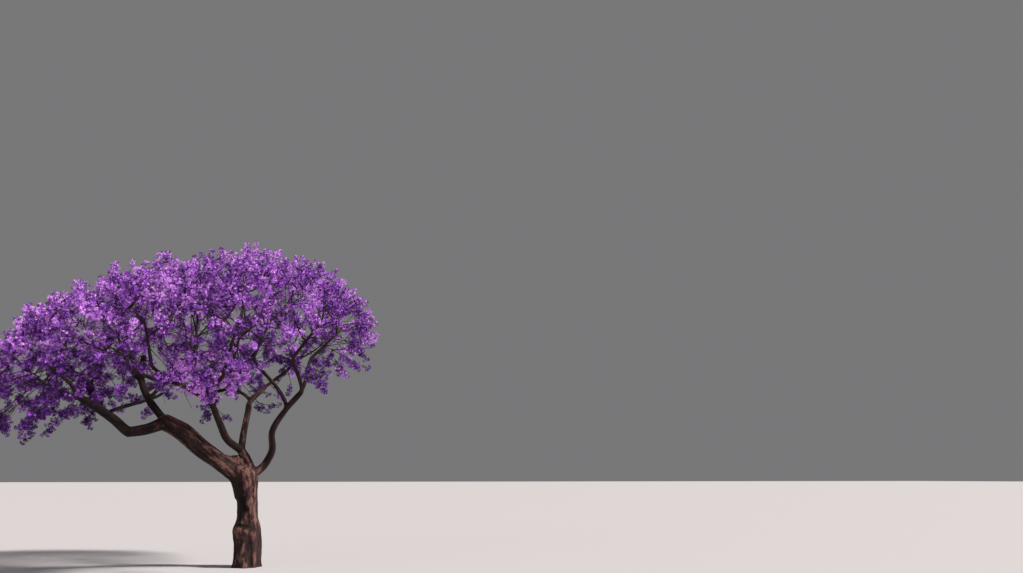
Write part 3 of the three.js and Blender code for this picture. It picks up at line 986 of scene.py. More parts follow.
    def spray_arms(self, joint: Array, middle: Array, axis: Array) -> Array:
        """Find the half axes of the solid spray on a twig.

        Args:
            joint: Where the twig leaves its fork.
            middle: The spray's middle.
            axis: The way that the spray points.

        Returns:
            Its half width, half length and half thickness, one in each row.
        """
        inward = joint - middle
        lateral = unit(inward - axis * (inward @ axis))
        turn = math.atan2(self.spray_thickness, self.spray_width)
        wide = lateral * math.cos(turn) + np.cross(axis, lateral) * math.sin(turn)
        halves = np.array([self.spray_width, self.spray_length, self.spray_thickness]) / 2.0
        return np.array([wide, axis, np.cross(wide, axis)]) * halves[:, None]

    def spray_is_clear(self, middle: Array, arms: Array) -> bool:
        """Return whether every limb is clear of a solid spray, given by its half axes."""
        squares = (arms**2).sum(axis=1)
        shares = np.abs((self.plan.stand_places - middle) @ (arms / squares[:, None]).T)
        beyond = (shares.sum(axis=1) - 1.0) / math.sqrt((1.0 / squares).sum())
        return bool((beyond > self.plan.stand_radii + self.clear).all())

    def framework_of(self, mass: Mass, start: Array, rng: SeededRandom) -> list[Fork]:
        """Grow the stem of a mass and the forks that leave it or one another.

        Args:
            mass: The mass.
            start: The end of its bough.
            rng: Random numbers.

        Returns:
            The stem and then the forks.
        """
        heart = self.crown.heart_of(mass)
        framework = [Fork(start, heart, 0.0)]
        draw = self.band(mass, self.fork_reach, self.fork_levels, rng)
        ends = self.spread([], self.fork_count, draw)
        ends.sort(key=lambda end: span(end - heart))
        girth = self.fork_girth * self.fork_radius
        for end in ends:
            parent, point, path = self.joint(end, framework, rng)
            corners = self.bar_corners(point, end, girth, girth)
            if self.fits(corners, point, end, mass):
                framework.append(Fork(point, end, path, parent))
        return framework

    def spray_axis(self, joint: Array, site: Array) -> Array:
        """Return the way a spray points: on from its twig, turned up a little."""
        return unit(unit(site - joint) + self.spray_lift * UP)

    def grow(self, mass: Mass) -> MassTwigs:
        """Grow one mass from the end of its bough.

        Args:
            mass: The mass.

        Returns:
            Its stem, forks and branchlets: first those of the solids, then the finer ones.
        """
        rng = SeededRandom(mass.seed)
        bough = self.plan.limbs["bough_to_" + mass.name]
        framework = self.framework_of(mass, bough.curve.at(bough.length), rng)
        draw_tip = partial(self.draw_site, mass, 1.0, self.tip_depth, rng)
        sites = self.spread([], self.site_count, draw_tip)
        twigs = MassTwigs(mass, framework[0])
        skipped = self.add_first(twigs, framework, sites, rng)
        twigs.forks = [fork for fork in framework[1:] if fork.tips]
        more = self.spread(sites, self.finer_sites, draw_tip)
        self.add_finer(twigs, skipped + more, self.panicles_per_finer, rng)
        self.add_low(twigs, rng)
        self.add_hem(twigs, rng)
        ends = [branchlet.site for branchlet in twigs.branchlets]
        draw = self.band(mass, self.crest_reach, (1.0, -self.crest_depth), rng)
        crest = self.spread(ends, self.crest_sites, draw)
        self.add_finer(twigs, crest, self.panicles_per_finer, rng)
        return twigs

    def add_first(
        self, twigs: MassTwigs, framework: list[Fork], sites: list[Array], rng: SeededRandom
    ) -> list[Array]:
        """Grow the branchlets that the solids have, and count how many each fork carries.

        Args:
            twigs: The mass's twigs, added to here.
            framework: Its stem and forks.
            sites: Where the branchlets may end.
            rng: Random numbers.

        Returns:
            The sites that no branchlet reaches.
        """
        taken: list[Array] = []
        skipped: list[Array] = []
        for site in sites:
            fork, point, _ = self.joint(site, framework, rng)
            branchlet = None
            far = span(point - site) >= self.spray_length * self.nearest_tip
            if far and len(twigs.branchlets) < self.tip_count:
                branchlet = self.spray_at(twigs.mass, fork, point, site, taken)
            if branchlet is None:
                skipped.append(site)
                continue
            twigs.branchlets.append(branchlet)
            while fork is not None:
                fork.tips += 1
                fork = fork.parent
        return skipped

    def add_low(self, twigs: MassTwigs, rng: SeededRandom) -> None:
        """Add low twigs that bloom, and bare ones that spread out from them.

        Args:
            twigs: The mass's twigs, added to here.
            rng: Random numbers.
        """
        mass = twigs.mass
        tufted, bare = self.low_sites
        fewest, extra = self.low_panicles
        tuft_draw, bare_draw = (
            self.band(mass, self.low_reach, levels, rng) for levels in self.low_levels
        )
        low = self.spread([], round(tufted * mass.lush), tuft_draw)
        self.add_finer(twigs, low, fewest + round(extra * mass.lush), rng, self.arch)
        low = self.spread(low, bare, bare_draw)
        self.add_finer(twigs, low, 0, rng, self.arch)

    def add_hem(self, twigs: MassTwigs, rng: SeededRandom) -> None:
        """Thicken the bloom along the underside where it sags, and paint light on it with paler tints.

        Args:
            twigs: The mass's twigs, added to here.
            rng: Random numbers.
        """
        crown, mass = self.crown, twigs.mass
        if crown.sagging(mass.x, mass.y) < self.hem_near:
            return
        before = len(twigs.branchlets)
        draw = self.band(mass, self.low_reach, (0.0, self.hem_depth), rng)
        sites = self.spread([], self.hem_tries, draw)
        kept = [site for site in sites if crown.sagging(site[0], site[1]) > self.hem_edge]
        self.add_finer(twigs, kept, self.hem_panicles, rng, self.arch)
        # Painted light: the hem's sprays are given paler tints.
        for branchlet in twigs.branchlets[before:]:
            branchlet.glow = self.hem_painted_light

    def spray_at(
        self, mass: Mass, fork: Fork, point: Array, site: Array, taken: list[Array]
    ) -> Optional[Branchlet]:
        """Grow one of the sprays that the solids have, if there is room for it.

        Args:
            mass: The mass.
            fork: The piece of the framework that the twig leaves.
            point: The place of the joint.
            site: Where the spray ends.
            taken: Places that the mass's other sprays take, added to here.

        Returns:
            The twig, or None where it would crowd, leave its space or touch a limb.
        """
        axis = self.spray_axis(point, site)
        middle = site - axis * self.spray_length / 2.0
        shares = np.array(self.twig_shares)[:, None]
        probes = [*(point + (middle - point) * shares), middle, (middle + site) / 2.0]
        if taken:
            gaps = np.array(probes)[:, None, :] - np.array(taken)[None]
            if np.linalg.norm(gaps, axis=2).min() < self.spacing:
                return None
        sunk = middle + (site - middle) * self.sunk
        arms = self.spray_arms(point, middle, axis)
        spray = np.concatenate([middle + arms, middle - arms])
        bar = self.bar_corners(point, sunk, self.tip_radius, 0.0)
        room = self.fits(spray, point, site, mass) and self.fits(bar, point, middle, mass)
        if not room or not self.spray_is_clear(middle, arms):
            return None
        taken.extend(probes)
        half = (self.spray_length / 2, self.spray_width / 2, self.spray_thickness / 2)
        leaves = unit(fork.end - fork.start)
        return Branchlet(point, leaves, middle, site, axis, half, self.panicles_per_spray)

    def add_finer(
        self, twigs: MassTwigs, sites: list[Array], panicles: int, rng: SeededRandom, arch: float = 0.0
    ) -> None:
        """Carry the rule on to finer twigs, which leave the forks or the first branchlets.

        Args:
            twigs: The mass's twigs, added to here.
            sites: Where the finer twigs end.
            panicles: How many panicles each carries.
            rng: Random numbers.
            arch: The most that a twig rises before it droops, as a share of its length.
        """
        framework = [twigs.stem, *twigs.forks]
        for twig in twigs.branchlets:
            if twig.panicles:
                framework.append(Fork(twig.start, twig.middle, self.twig_path, twig=twig))
        sizes = (self.spray_length, self.spray_width, self.spray_thickness)
        half = tuple(self.finer_share * size / 2.0 for size in sizes)
        for site in sites:
            fork, point, _ = self.joint(site, framework, rng)
            reach = span(site - point)
            if reach < self.finer_shortest:
                continue
            axis = self.spray_axis(point, site)
            middle = site - axis * min(half[0], reach / 2.0)
            probes = np.array([point + (middle - point) / 2.0, middle, site])
            if self.plan.clearance(probes) < self.finer_clear:
                continue
            if fork.twig is not None:
                fork.twig.bears = True
            leaves, rise = unit(fork.end - fork.start), arch * rng()
            branchlet = Branchlet(point, leaves, middle, site, axis, half, panicles, rise)
            twigs.branchlets.append(branchlet)


def wall(rings: int, sides: int) -> Array:
    """List the corners of a tube's four-sided faces, ring by ring.

    Args:
        rings: How many rings of points the tube has.
        sides: How many points each ring has.

    Returns:
        The point at each corner, in order.
    """
    here = np.arange(sides)
    onward = (here + 1) % sides
    ring = np.arange(rings - 1)[:, None] * sides
    quads = [ring + here, ring + onward, ring + onward + sides, ring + here + sides]
    return np.stack(quads, axis=-1).reshape(-1)


def read_values(
    items: bpy.types.bpy_prop_collection, key: str, width: int, kind: type = np.float32
) -> Array:
    """Return one value of every item of a mesh, (n, width)."""
    values = np.empty(len(items) * width, kind)
    items.foreach_get(key, values)
    return values.reshape(-1, width)


def move_vertices(mesh: bpy.types.Mesh, points: Array) -> None:
    """Put a mesh's vertices at places in millimetres."""
    mesh.vertices.foreach_set("co", (points * MM).astype(np.float32).ravel())


def into_scene(name: str, data: bpy.types.ID) -> Piece:
    """Return a new object with the data, put into the scene."""
    thing = bpy.data.objects.new(name, data)
    bpy.context.scene.collection.objects.link(thing)
    return thing


class MeshBatch:
    """Collects many small meshes of one kind, in millimetres, and joins them into one piece."""

    def __init__(self) -> None:
        """Start empty."""
        self.points: list[Array] = []
        self.corners: list[Array] = []
        self.sizes: list[Array] = []
        self.count = 0

    def add(self, points: Array, corners: Array, sizes: Array) -> None:
        """Add a mesh.

        Args:
            points: Its vertices, (n, 3).
            corners: The vertex of each face corner, in order.
            sizes: How many corners each face has.
        """
        self.points.append(np.asarray(points, float).reshape(-1, 3))
        self.corners.append(np.asarray(corners, np.int64).ravel() + self.count)
        self.sizes.append(np.asarray(sizes, np.int64).ravel())
        self.count += len(self.points[-1])

    def add_copies(self, shape: "Shape", frames: Array, places: Array) -> None:
        """Add a copy of a shape at each place, with its scaled axes as the rows of a frame."""
        points = np.einsum("vi,nij->nvj", shape.points, frames) + places[:, None, :]
        shift = np.arange(len(places))[:, None] * len(shape.points)
        self.add(points, shape.corners[None] + shift, np.tile(shape.sizes, len(places)))

    def add_tubes(self, centres: Array, radii: Array, sides: int) -> None:
        """Add tapering tubes, open where they start and closed where they end.

        Args:
            centres: The middles of their rings, (n, rings, 3).
            radii: The radii of their rings, (n, rings).
            sides: How many sides they have.
        """
        number, rings = radii.shape
        along = unit(np.gradient(centres, axis=1))
        side = across(unit(centres[:, -1] - centres[:, 0]))[:, None, :]
        side = unit(side - along * (side * along).sum(axis=2, keepdims=True))
        points = circles(centres, side, np.cross(along, side), radii, sides)
        end = (rings - 1) * sides
        shape = np.concatenate([wall(rings, sides), end + np.arange(sides)])
        shift = np.arange(number)[:, None] * rings * sides
        self.add(points, shape[None] + shift, np.tile([4] * end + [sides], number))

    def add_closed(self, rings: Array) -> None:
        """Add a tube through rings of points, (rings, sides, 3), closed at both ends."""
        count, sides, _ = rings.shape
        end, here = (count - 1) * sides, np.arange(sides)
        corners = np.concatenate([wall(count, sides), here[::-1], end + here])
        self.add(rings, corners, np.array([4] * end + [sides, sides]))

    def build(self, name: str, smooth: bool) -> Piece:
        """Make the piece.

        Args:
            name: The name of the object.
            smooth: Whether its faces are shaded smoothly.

        Returns:
            The new object, in metres, in the scene.
        """
        points = np.concatenate(self.points)
        corners = np.concatenate(self.corners)
        sizes = np.concatenate(self.sizes)
        mesh = bpy.data.meshes.new(name)
        mesh.vertices.add(len(points))
        move_vertices(mesh, points)
        mesh.loops.add(len(corners))
        mesh.loops.foreach_set("vertex_index", corners.astype(np.int32))
        mesh.polygons.add(len(sizes))
        starts = np.concatenate([[0], np.cumsum(sizes)[:-1]])
        mesh.polygons.foreach_set("loop_start", starts.astype(np.int32))
        mesh.polygons.foreach_set("use_smooth", np.full(len(sizes), smooth))
        mesh.update(calc_edges=True)
        return into_scene(name, mesh)


@dataclass(frozen=True)
class Shape:
    """A small mesh that is copied many times."""

    points: Array
    corners: Array
    sizes: Array


@dataclass(frozen=True)
class Flower:
    """A five-lobed trumpet and a closed bud, one unit long, along +Z, with angles in degrees."""

    throat_at: float = 0.58
    throat_radius: float = 0.16
    lobe_at: float = 0.96
    lobe_radius: float = 0.44
    lobe_half_angle: float = 31.0
    lobe_droop: float = 0.06
    bud_at: float = 0.62
    bud_radius: float = 0.24
    lobes: int = 5
    drooping: tuple[int, ...] = (0, 1, 4)
    bud_sides: int = 3

    def trumpet(self) -> Shape:
        """Shape an open flower: a cone for its tube and squared lobes.

        Returns:
            The flower, with two triangles for each lobe.
        """
        angles = turns(self.lobes)
        half = math.radians(self.lobe_half_angle)
        points = [[0.0, 0.0, 0.0]]
        for angle in angles:
            reach = self.throat_radius
            points.append([reach * math.cos(angle), reach * math.sin(angle), self.throat_at])
        for index, angle in enumerate(angles):
            height = self.lobe_at - (self.lobe_droop if index in self.drooping else 0.0)
            for side in (-half, half):
                x, y = math.cos(angle + side), math.sin(angle + side)
                points.append([self.lobe_radius * x, self.lobe_radius * y, height])
        corners: list[int] = []
        for i in range(self.lobes):
            rim = 1 + self.lobes + 2 * i
            corners += [0, 1 + (i + 1) % self.lobes, 1 + i, 1 + i, rim + 1, rim]
        return Shape(np.array(points), np.array(corners), np.full(2 * self.lobes, 3))

    def bud(self) -> Shape:
        """Shape a closed bud.

        Returns:
            The bud, pointed at both ends.
        """
        sides, reach = self.bud_sides, self.bud_radius
        ring = [[reach * math.cos(t), reach * math.sin(t), self.bud_at] for t in turns(sides)]
        corners: list[int] = []
        for i in range(sides):
            after = (i + 1) % sides
            corners += [0, 1 + after, 1 + i, 1 + sides, 1 + i, 1 + after]
        points = np.array([[0.0, 0.0, 0.0], *ring, [0.0, 0.0, 1.0]])
        return Shape(points, np.array(corners), np.full(2 * sides, 3))


class MaterialMaker:
    """Builds a node material step by step."""

    def __init__(self, name: str) -> None:
        """Start a material with only its output.

        Args:
            name: The material's name.
        """
        self.material = bpy.data.materials.new(name)
        self.material.use_nodes = True
        self.nodes = self.material.node_tree.nodes
        self.links = self.material.node_tree.links
        self.nodes.clear()
        self.output = self.nodes.new("ShaderNodeOutputMaterial")

    def add(self, kind: str, **values: object) -> bpy.types.Node:
        """Add a node.

        Args:
            kind: Its Blender type.
            **values: Its settings by attribute, or its input values by socket name.

        Returns:
            The new node.
        """
        node = self.nodes.new(kind)
        for key, value in values.items():
            if hasattr(node, key):
                setattr(node, key, value)
            else:
                node.inputs[key.replace("_", " ")].default_value = value
        return node

    def link(self, source: Socket, target: Socket) -> None:
        """Join two sockets."""
        self.links.new(source, target)

    def ramp(self, source: Socket, stops: Sequence[tuple[float, Colour]]) -> Socket:
        """Turn a number into a colour.

        Args:
            source: The number.
            stops: Places from 0 to 1 with their colours.

        Returns:
            The colour's socket.
        """
        node = self.add("ShaderNodeValToRGB")
        elements = node.color_ramp.elements
        while len(elements) < len(stops):
            elements.new(0.5)
        for element, (place, colour) in zip(elements, stops):
            element.position = place
            element.color = (*colour, 1.0)
        self.link(source, node.inputs["Fac"])
        return node.outputs["Color"]

    def noise_over(self, place: Socket, grade: Triple) -> Socket:
        """Return noise of a scale, a detail and a roughness over the places of a socket."""
        scale, detail, roughness = grade
        node = self.add("ShaderNodeTexNoise", Scale=scale, Detail=detail, Roughness=roughness)
        self.link(place, node.inputs["Vector"])
        return node.outputs["Fac"]

    def mottle(self, grade: Triple) -> Socket:
        """Return noise that keeps to its place on the piece."""
        return self.noise_over(self.add("ShaderNodeTexCoord").outputs["Object"], grade)

    def times(self, source: Socket, factor: float, plus: Optional[Socket] = None) -> Socket:
        """Multiply a number and add another.

        Args:
            source: The number.
            factor: What it is multiplied by.
            plus: What is added, if anything.

        Returns:
            The result's socket.
        """
        operation = "MULTIPLY" if plus is None else "MULTIPLY_ADD"
        node = self.add("ShaderNodeMath", operation=operation)
        node.inputs[1].default_value = factor
        self.link(source, node.inputs[0])
        if plus is not None:
            self.link(plus, node.inputs[2])
        return node.outputs["Value"]

    def surface(self, colour: Socket, roughness: float, gloss: float) -> bpy.types.Node:
        """Return the node of a surface with a colour, a roughness and a gloss."""
        shader = self.add("ShaderNodeBsdfPrincipled", Roughness=roughness)
        shader.inputs["Specular IOR Level"].default_value = gloss
        self.link(colour, shader.inputs["Base Color"])
        return shader

    def roughen(
        self, shader: bpy.types.Node, height: Socket, strength: float, depth: float
    ) -> None:
        """Give a surface bumps of a strength and a depth in metres."""
        bump = self.add("ShaderNodeBump", Strength=strength, Distance=depth)
        self.link(height, bump.inputs["Height"])
        self.link(bump.outputs["Normal"], shader.inputs["Normal"])

    def finished(self, shader: Socket) -> bpy.types.Material:
        """Return the material, with its look joined to its output."""
        self.link(shader, self.output.inputs["Surface"])
        return self.material


@dataclass(frozen=True)
class BarkFinish:
    """Furrowed red-brown bark with grey ridges.

    Fibre and patches are each a noise's scale, detail and roughness.
    """

    # The furrow, middle and ridge colours are stops over the bark's tone, which holds its own furrows
    # and ridges with painted light and shade.
    furrow: Colour = (0.0060, 0.0020, 0.0021)
    middle: Colour = (0.032, 0.0125, 0.0115)
    ridge: Colour = (0.142, 0.067, 0.056)
    grey: Colour = (0.062, 0.037, 0.035)
    roughness: float = 0.88
    bump: float = 0.75
    bump_distance: float = 0.012
    gloss: float = 0.25
    fibre: Triple = (26.0, 9.0, 0.62)
    patches: Triple = (3.2, 3.0, 0.5)
    plate_scale: float = 30.0
    plate_edge: float = 0.22
    plate_height: float = 0.16
    relief_and_shading_weight: float = 0.86
    contrast: float = 0.72
    stops: Triple = (0.38, 0.72, 0.96)
    weathered: Pair = (0.48, 0.72)
    weathering: float = 0.45

    def material(self) -> bpy.types.Material:
        """Make the bark's material, laid along each limb by its grain attribute.

        Returns:
            The material.
        """
        made = MaterialMaker("bark")
        grain = made.add("ShaderNodeAttribute", attribute_name="grain").outputs["Vector"]
        # This attribute holds the bark's tone: its own furrows and ridges with painted light and
        # shade.
        relief_and_painted_shading = made.add("ShaderNodeAttribute", attribute_name="relief_and_painted_shading").outputs["Fac"]
        fibre = made.noise_over(grain, self.fibre)
        patches = made.noise_over(grain, self.patches)
        plates = made.add("ShaderNodeTexVoronoi", feature="DISTANCE_TO_EDGE", Scale=self.plate_scale)
        made.link(grain, plates.inputs["Vector"])
        edges = made.add("ShaderNodeMapRange", interpolation_type="SMOOTHSTEP")
        edges.inputs["From Max"].default_value = self.plate_edge
        made.link(plates.outputs["Distance"], edges.inputs["Value"])
        height = made.times(edges.outputs["Result"], self.plate_height, fibre)
        tone = made.times(relief_and_painted_shading, self.relief_and_shading_weight, height)
        stops = tuple(zip(self.stops, (self.furrow, self.middle, self.ridge)))
        colour = made.ramp(made.times(tone, self.contrast), stops)
        weather = made.add("ShaderNodeMapRange")
        low, high = self.weathered
        weather.inputs["From Min"].default_value = low
        weather.inputs["From Max"].default_value = high
        weather.inputs["To Max"].default_value = self.weathering
        made.link(patches, weather.inputs["Value"])
        mixed = made.add("ShaderNodeMix", data_type="RGBA")
        made.link(weather.outputs["Result"], mixed.inputs["Factor"])
        made.link(colour, mixed.inputs[6])
        mixed.inputs[7].default_value = (*self.grey, 1.0)
        shader = made.surface(mixed.outputs[2], self.roughness, self.gloss)
        made.roughen(shader, height, self.bump, self.bump_distance)
        return made.finished(shader.outputs["BSDF"])


@dataclass(frozen=True)
class TwigFinish:
    """Dark, slightly mottled bark of young twigs."""

    mottle: Triple = (38.0, 4.0, 0.6)
    dark: Colour = (0.012, 0.0075, 0.0080)
    light: Colour = (0.040, 0.023, 0.023)
    stops: Pair = (0.35, 0.7)
    roughness: float = 0.82
    gloss: float = 0.2
    bump: float = 0.4
    bump_distance: float = 0.003

    def material(self) -> bpy.types.Material:
        """Make the twigs' material.

        Returns:
            The material.
        """
        made = MaterialMaker("twig")
        mottle = made.mottle(self.mottle)
        colour = made.ramp(mottle, tuple(zip(self.stops, (self.dark, self.light))))
        shader = made.surface(colour, self.roughness, self.gloss)
        made.roughen(shader, mottle, self.bump, self.bump_distance)
        return made.finished(shader.outputs["BSDF"])


@dataclass(frozen=True)
class PetalFinish:
    """Soft petals of one tint, which vary a little and let some light through."""

    tint: Tint
    colour: Colour
    roughness: float = 0.62
    gloss: float = 0.3
    through: float = 0.20
    mottle: Triple = (13.0, 3.0, 0.65)
    variation: float = 0.26
    brightest: float = 0.9
    stops: Triple = (0.34, 0.5, 0.68)

    def material(self) -> bpy.types.Material:
        """Make the petals' material.

        Returns:
            The material.
        """
        made = MaterialMaker("petals_" + self.tint.value)
        deeper = tuple(c * (1.0 - self.variation) for c in self.colour)
        paler = tuple(min(self.brightest, c * (1.0 + self.variation)) for c in self.colour)
        stops = tuple(zip(self.stops, (deeper, self.colour, paler)))
        colour = made.ramp(made.mottle(self.mottle), stops)
        shader = made.surface(colour, self.roughness, self.gloss)
        glow = made.add("ShaderNodeBsdfTranslucent")
        made.link(colour, glow.inputs["Color"])
        mixed = made.add("ShaderNodeMixShader", Fac=self.through)
        made.link(shader.outputs["BSDF"], mixed.inputs[1])
        made.link(glow.outputs["BSDF"], mixed.inputs[2])
        return made.finished(mixed.outputs["Shader"])


@dataclass
class BarkSkin:
    """One bark mesh over the trunk and every bough, with furrows along each limb.

    A step of the rounded end is (how far on, how wide), in shares of the radius. A wave's scales
    are across and along the grain. A web rounds a crotch: places along it, and its radii.
    """

    trunk: Trunk
    plan: LimbPlan
    finish: BarkFinish
    voxel: float = 0.0184
    main_sides: int = 28
    bough_sides: int = 16
    thin: float = 60.0
    ring_spacing: float = 45.0
    rounded_end: tuple[Pair, ...] = ((0.3, 0.95), (0.55, 0.8), (0.78, 0.5), (0.88, 0.2))
    even_rounds: int = 3
    even_share: float = 0.5
    fork_rounds: int = 22
    fork_reach: float = 1.9
    fork_place: float = 0.5
    least_fork: float = 70.0
    trunk_samples: int = 70
    sample_spacing: float = 30.0
    buried: float = 0.55
    grain_shift: float = 3100.0
    chunk: int = 6000
    stretch: float = 0.28
    widest: float = 300.0
    wave_scales: tuple[Pair, ...] = ((6.0, 3.6), (13.0, 11.0), (27.0, 30.0))
    wave_depths: Triple = (0.15, 0.045, 0.022)
    wave_tones: Triple = (0.55, 0.75, 0.50)
    plain_tone: float = 0.55
    # Painted shade on thin limbs, fading out as they thicken.
    thin_shade: float = 0.42
    shaded_from: Pair = (60.0, 230.0)
    # Painted light on the limbs right of the trunk above the fork, turning to painted shade high under
    # the crown.
    lit_from: Fade = Fade(0.38, 1900.0, 2300.0)
    lit_until: Fade = Fade(0.54, 2900.0, 4200.0)
    lit_side: Pair = (-200.0, 200.0)
    # Painted shade on the limbs far to the left.
    far_left_shade: Fade = Fade(0.36, 1500.0, 2600.0)
    # Painted shade under the limbs, where the bark faces down.
    underside: Fade = Fade(0.40, 0.05, 0.80)
    # Painted shade in the trunk's creases and along its fold.
    crease_shade_scale: float = 42.0
    fold_shade: float = 0.7
    # Painted shade on the left side of the trunk.
    left_shade: Fade = Fade(0.7, 0.0, 0.7)
    left_from: float = 0.25
    left_heights: Pair = (1050.0, 1500.0)
    # The trunk is darker towards its foot.
    foot_darkening: float = 0.32
    foot_heights: Pair = (500.0, 1000.0)
    shade_past: float = 200.0
    webs: tuple[tuple[tuple[Triple, ...], Pair], ...] = (
        (((-215, -10, 2290), (-385, -25, 2560), (-600, -60, 2590)), (130, 80)),
        (((-300, -20, 2330), (-470, -50, 2500), (-740, -85, 2600)), (150, 110)),
    )

    def solid(self) -> Piece:
        """Put the closed limbs together, still loose.

        Returns:
            One object, in metres.
        """
        batch = MeshBatch()
        batch.add_closed(self.trunk.rings_for_skin())
        for limb in self.plan.limbs.values():
            sides = self.bough_sides if limb.radii[0] < self.thin else self.main_sides
            batch.add_closed(self.limb_rings(limb, sides))
        for points, radii in self.webs:
            curve = smooth_through([np.array(point, float) for point in points])
            batch.add_closed(self.limb_rings(Limb(curve, radii, radii[0]), self.bough_sides))
        return batch.build("bark", True)

    def limb_rings(self, limb: Limb, sides: int) -> Array:
        """Lay out a limb's skin, with a rounded end.

        Args:
            limb: The limb.
            sides: How many points each ring has.

        Returns:
            Rings of points, (rings, sides, 3).
        """
        _, places, directions, radii = limb.walk(self.ring_spacing)
        ends = self.rounded_end
        extra = np.array([places[-1] + directions[-1] * radii[-1] * on for on, _ in ends])
        places = np.concatenate([places, extra])
        directions = np.concatenate([directions, np.repeat(directions[-1:], len(ends), axis=0)])
        radii = np.concatenate([radii, [radii[-1] * share for _, share in ends]])
        side = sides_of(places, directions)
        return circles(places, side, np.cross(directions, side), radii, sides)

    def fuse(self, piece: Piece) -> None:
        """Fuse the loose limbs into one surface.

        Args:
            piece: The object, whose mesh is replaced.
        """
        remesh = piece.modifiers.new("fuse", "REMESH")
        remesh.mode = "VOXEL"
        remesh.voxel_size = self.voxel
        graph = bpy.context.evaluated_depsgraph_get()
        fused = bpy.data.meshes.new_from_object(piece.evaluated_get(graph))
        piece.modifiers.clear()
        loose = piece.data
        piece.data = fused
        bpy.data.meshes.remove(loose)
        fused.name = "bark"

    def frames(self) -> tuple[Array, Array, Array, Array, Array]:
        """Sample the middles of the trunk and limbs.

        Returns:
            Places (n, 3), directions (n, 3), sides (n, 3), radii (n,) and distances (n,).
        """
        heights = np.linspace(-self.trunk.below, self.trunk.height, self.trunk_samples)
        places = np.array([self.trunk.centre(z) for z in heights])
        side = np.tile([1.0, 0.0, 0.0], (len(heights), 1))
        thick = np.array([self.trunk.back_radius(max(z, 0.0)) for z in heights])
        parts = [(places, unit(np.gradient(places, axis=0)), side, thick, heights)]
        for index, limb in enumerate(self.plan.limbs.values(), start=1):
            along, places, ways, thick = limb.walk(self.sample_spacing)
            keep = along > self.buried * limb.parent_radius
            shifted = along + self.grain_shift * index
            part = (places, ways, sides_of(places, ways), thick, shifted)
            parts.append(tuple(values[keep] for values in part))
        return tuple(np.concatenate(values) for values in zip(*parts))

    def smooth_forks(self, points: Array, edges: Array) -> Array:
        """Even the surface out, most of all at the forks.

        Args:
            points: The vertices, in millimetres, (n, 3).
            edges: Pairs of vertices, (m, 2).

        Returns:
            The moved vertices.
        """
        near = np.zeros(len(points))
        for limb in self.plan.limbs.values():
            place = limb.curve.at(self.fork_place * limb.parent_radius)
            reach = self.fork_reach * max(limb.parent_radius, self.least_fork)
            off = np.linalg.norm(points - place, axis=1) / reach
            near = np.maximum(near, np.exp(-(off**2)))
        first, second = edges[:, 0], edges[:, 1]
        degree = np.bincount(edges.ravel(), minlength=len(points)).astype(float)
        for turn in range(self.fork_rounds):
            mean = np.empty_like(points)
            for axis in range(3):
                total = np.bincount(first, points[second, axis], len(points))
                total += np.bincount(second, points[first, axis], len(points))
                mean[:, axis] = total / degree
            weight = self.even_share * near
            if turn < self.even_rounds:
                weight = np.full(len(points), self.even_share)
            points = points + (mean - points) * weight[:, None]
        return points

    def nearest_samples(self, points: Array, places: Array, radii: Array) -> Array:
        """Find the sample of a limb that each vertex belongs to.

        Args:
            points: The vertices, (n, 3).
            places: The samples, (m, 3).
            radii: The limb's radius at each sample, (m,).

        Returns:
            The index of the nearest sample, with distances taken in radii, (n,).
        """
        nearest = np.empty(len(points), int)
        weight = (1.0 / radii) ** 2
        for start in range(0, len(points), self.chunk):
            some = points[start : start + self.chunk]
            square = (some**2).sum(1)[:, None] - 2.0 * some @ places.T + (places**2).sum(1)[None]
            nearest[start : start + self.chunk] = (square * weight).argmin(axis=1)
        return nearest

    def waves_at(self, x: float, y: float, z: float) -> list[float]:
        """Return coarse, middle and fine noise at a place of the grain."""
        return [noise.noise((x * a, y * a, z * b)) for a, b in self.wave_scales]

    def tone(
        self, points: Array, normals: Array, middles: Array, radii: Array, waves: Array
    ) -> Array:
        """Paint light and shade into the bark; limbs are darkest underneath, and the trunk in its
        folds and creases.

        Args:
            points: The vertices, in millimetres, (n, 3).
            normals: The vertices' normals, (n, 3).
            middles: How far to the right the middle of the limb is, (n,).
            radii: The limb's radius at each vertex, (n,).
            waves: The noise at each vertex, (n, 3).

        Returns:
            How light each vertex is, from 0 to 1.
        """
        right, height = points[:, 0], points[:, 2]
        share = self.plain_tone + waves @ np.array(self.wave_tones)
        # Painted shade on thin limbs.
        share -= self.thin_shade * (1.0 - smoothstep(*self.shaded_from, radii))
        # Painted light right of the trunk above the fork, turning to painted shade higher up.
        lift = self.lit_from.at(height) - self.lit_until.at(height)
        share += lift * smoothstep(*self.lit_side, right)
        # Painted shade far to the left.
        share -= self.far_left_shade.at(-right)
        # Painted shade where the bark faces down.
        share -= self.underside.at(-normals[:, 2])
        angle = np.arctan2(points[:, 1], right - middles)
        # Painted shade in the trunk's creases and its fold.
        dark = self.trunk.creases(height, angle) / self.crease_shade_scale
        dark = dark + self.fold_shade * self.trunk.fold_share(height, angle)
        # Painted shade on the trunk's left side.
        leftward = self.left_shade.at(-np.cos(angle) - self.left_from)
        dark = dark + leftward * smoothstep(*self.left_heights, height)
        # Darker towards the foot of the trunk.
        dark = dark + self.foot_darkening * (1.0 - smoothstep(*self.foot_heights, height))
        share -= np.where(height < self.trunk.height + self.shade_past, dark, 0.0)
        return np.clip(share, 0.0, 1.0)

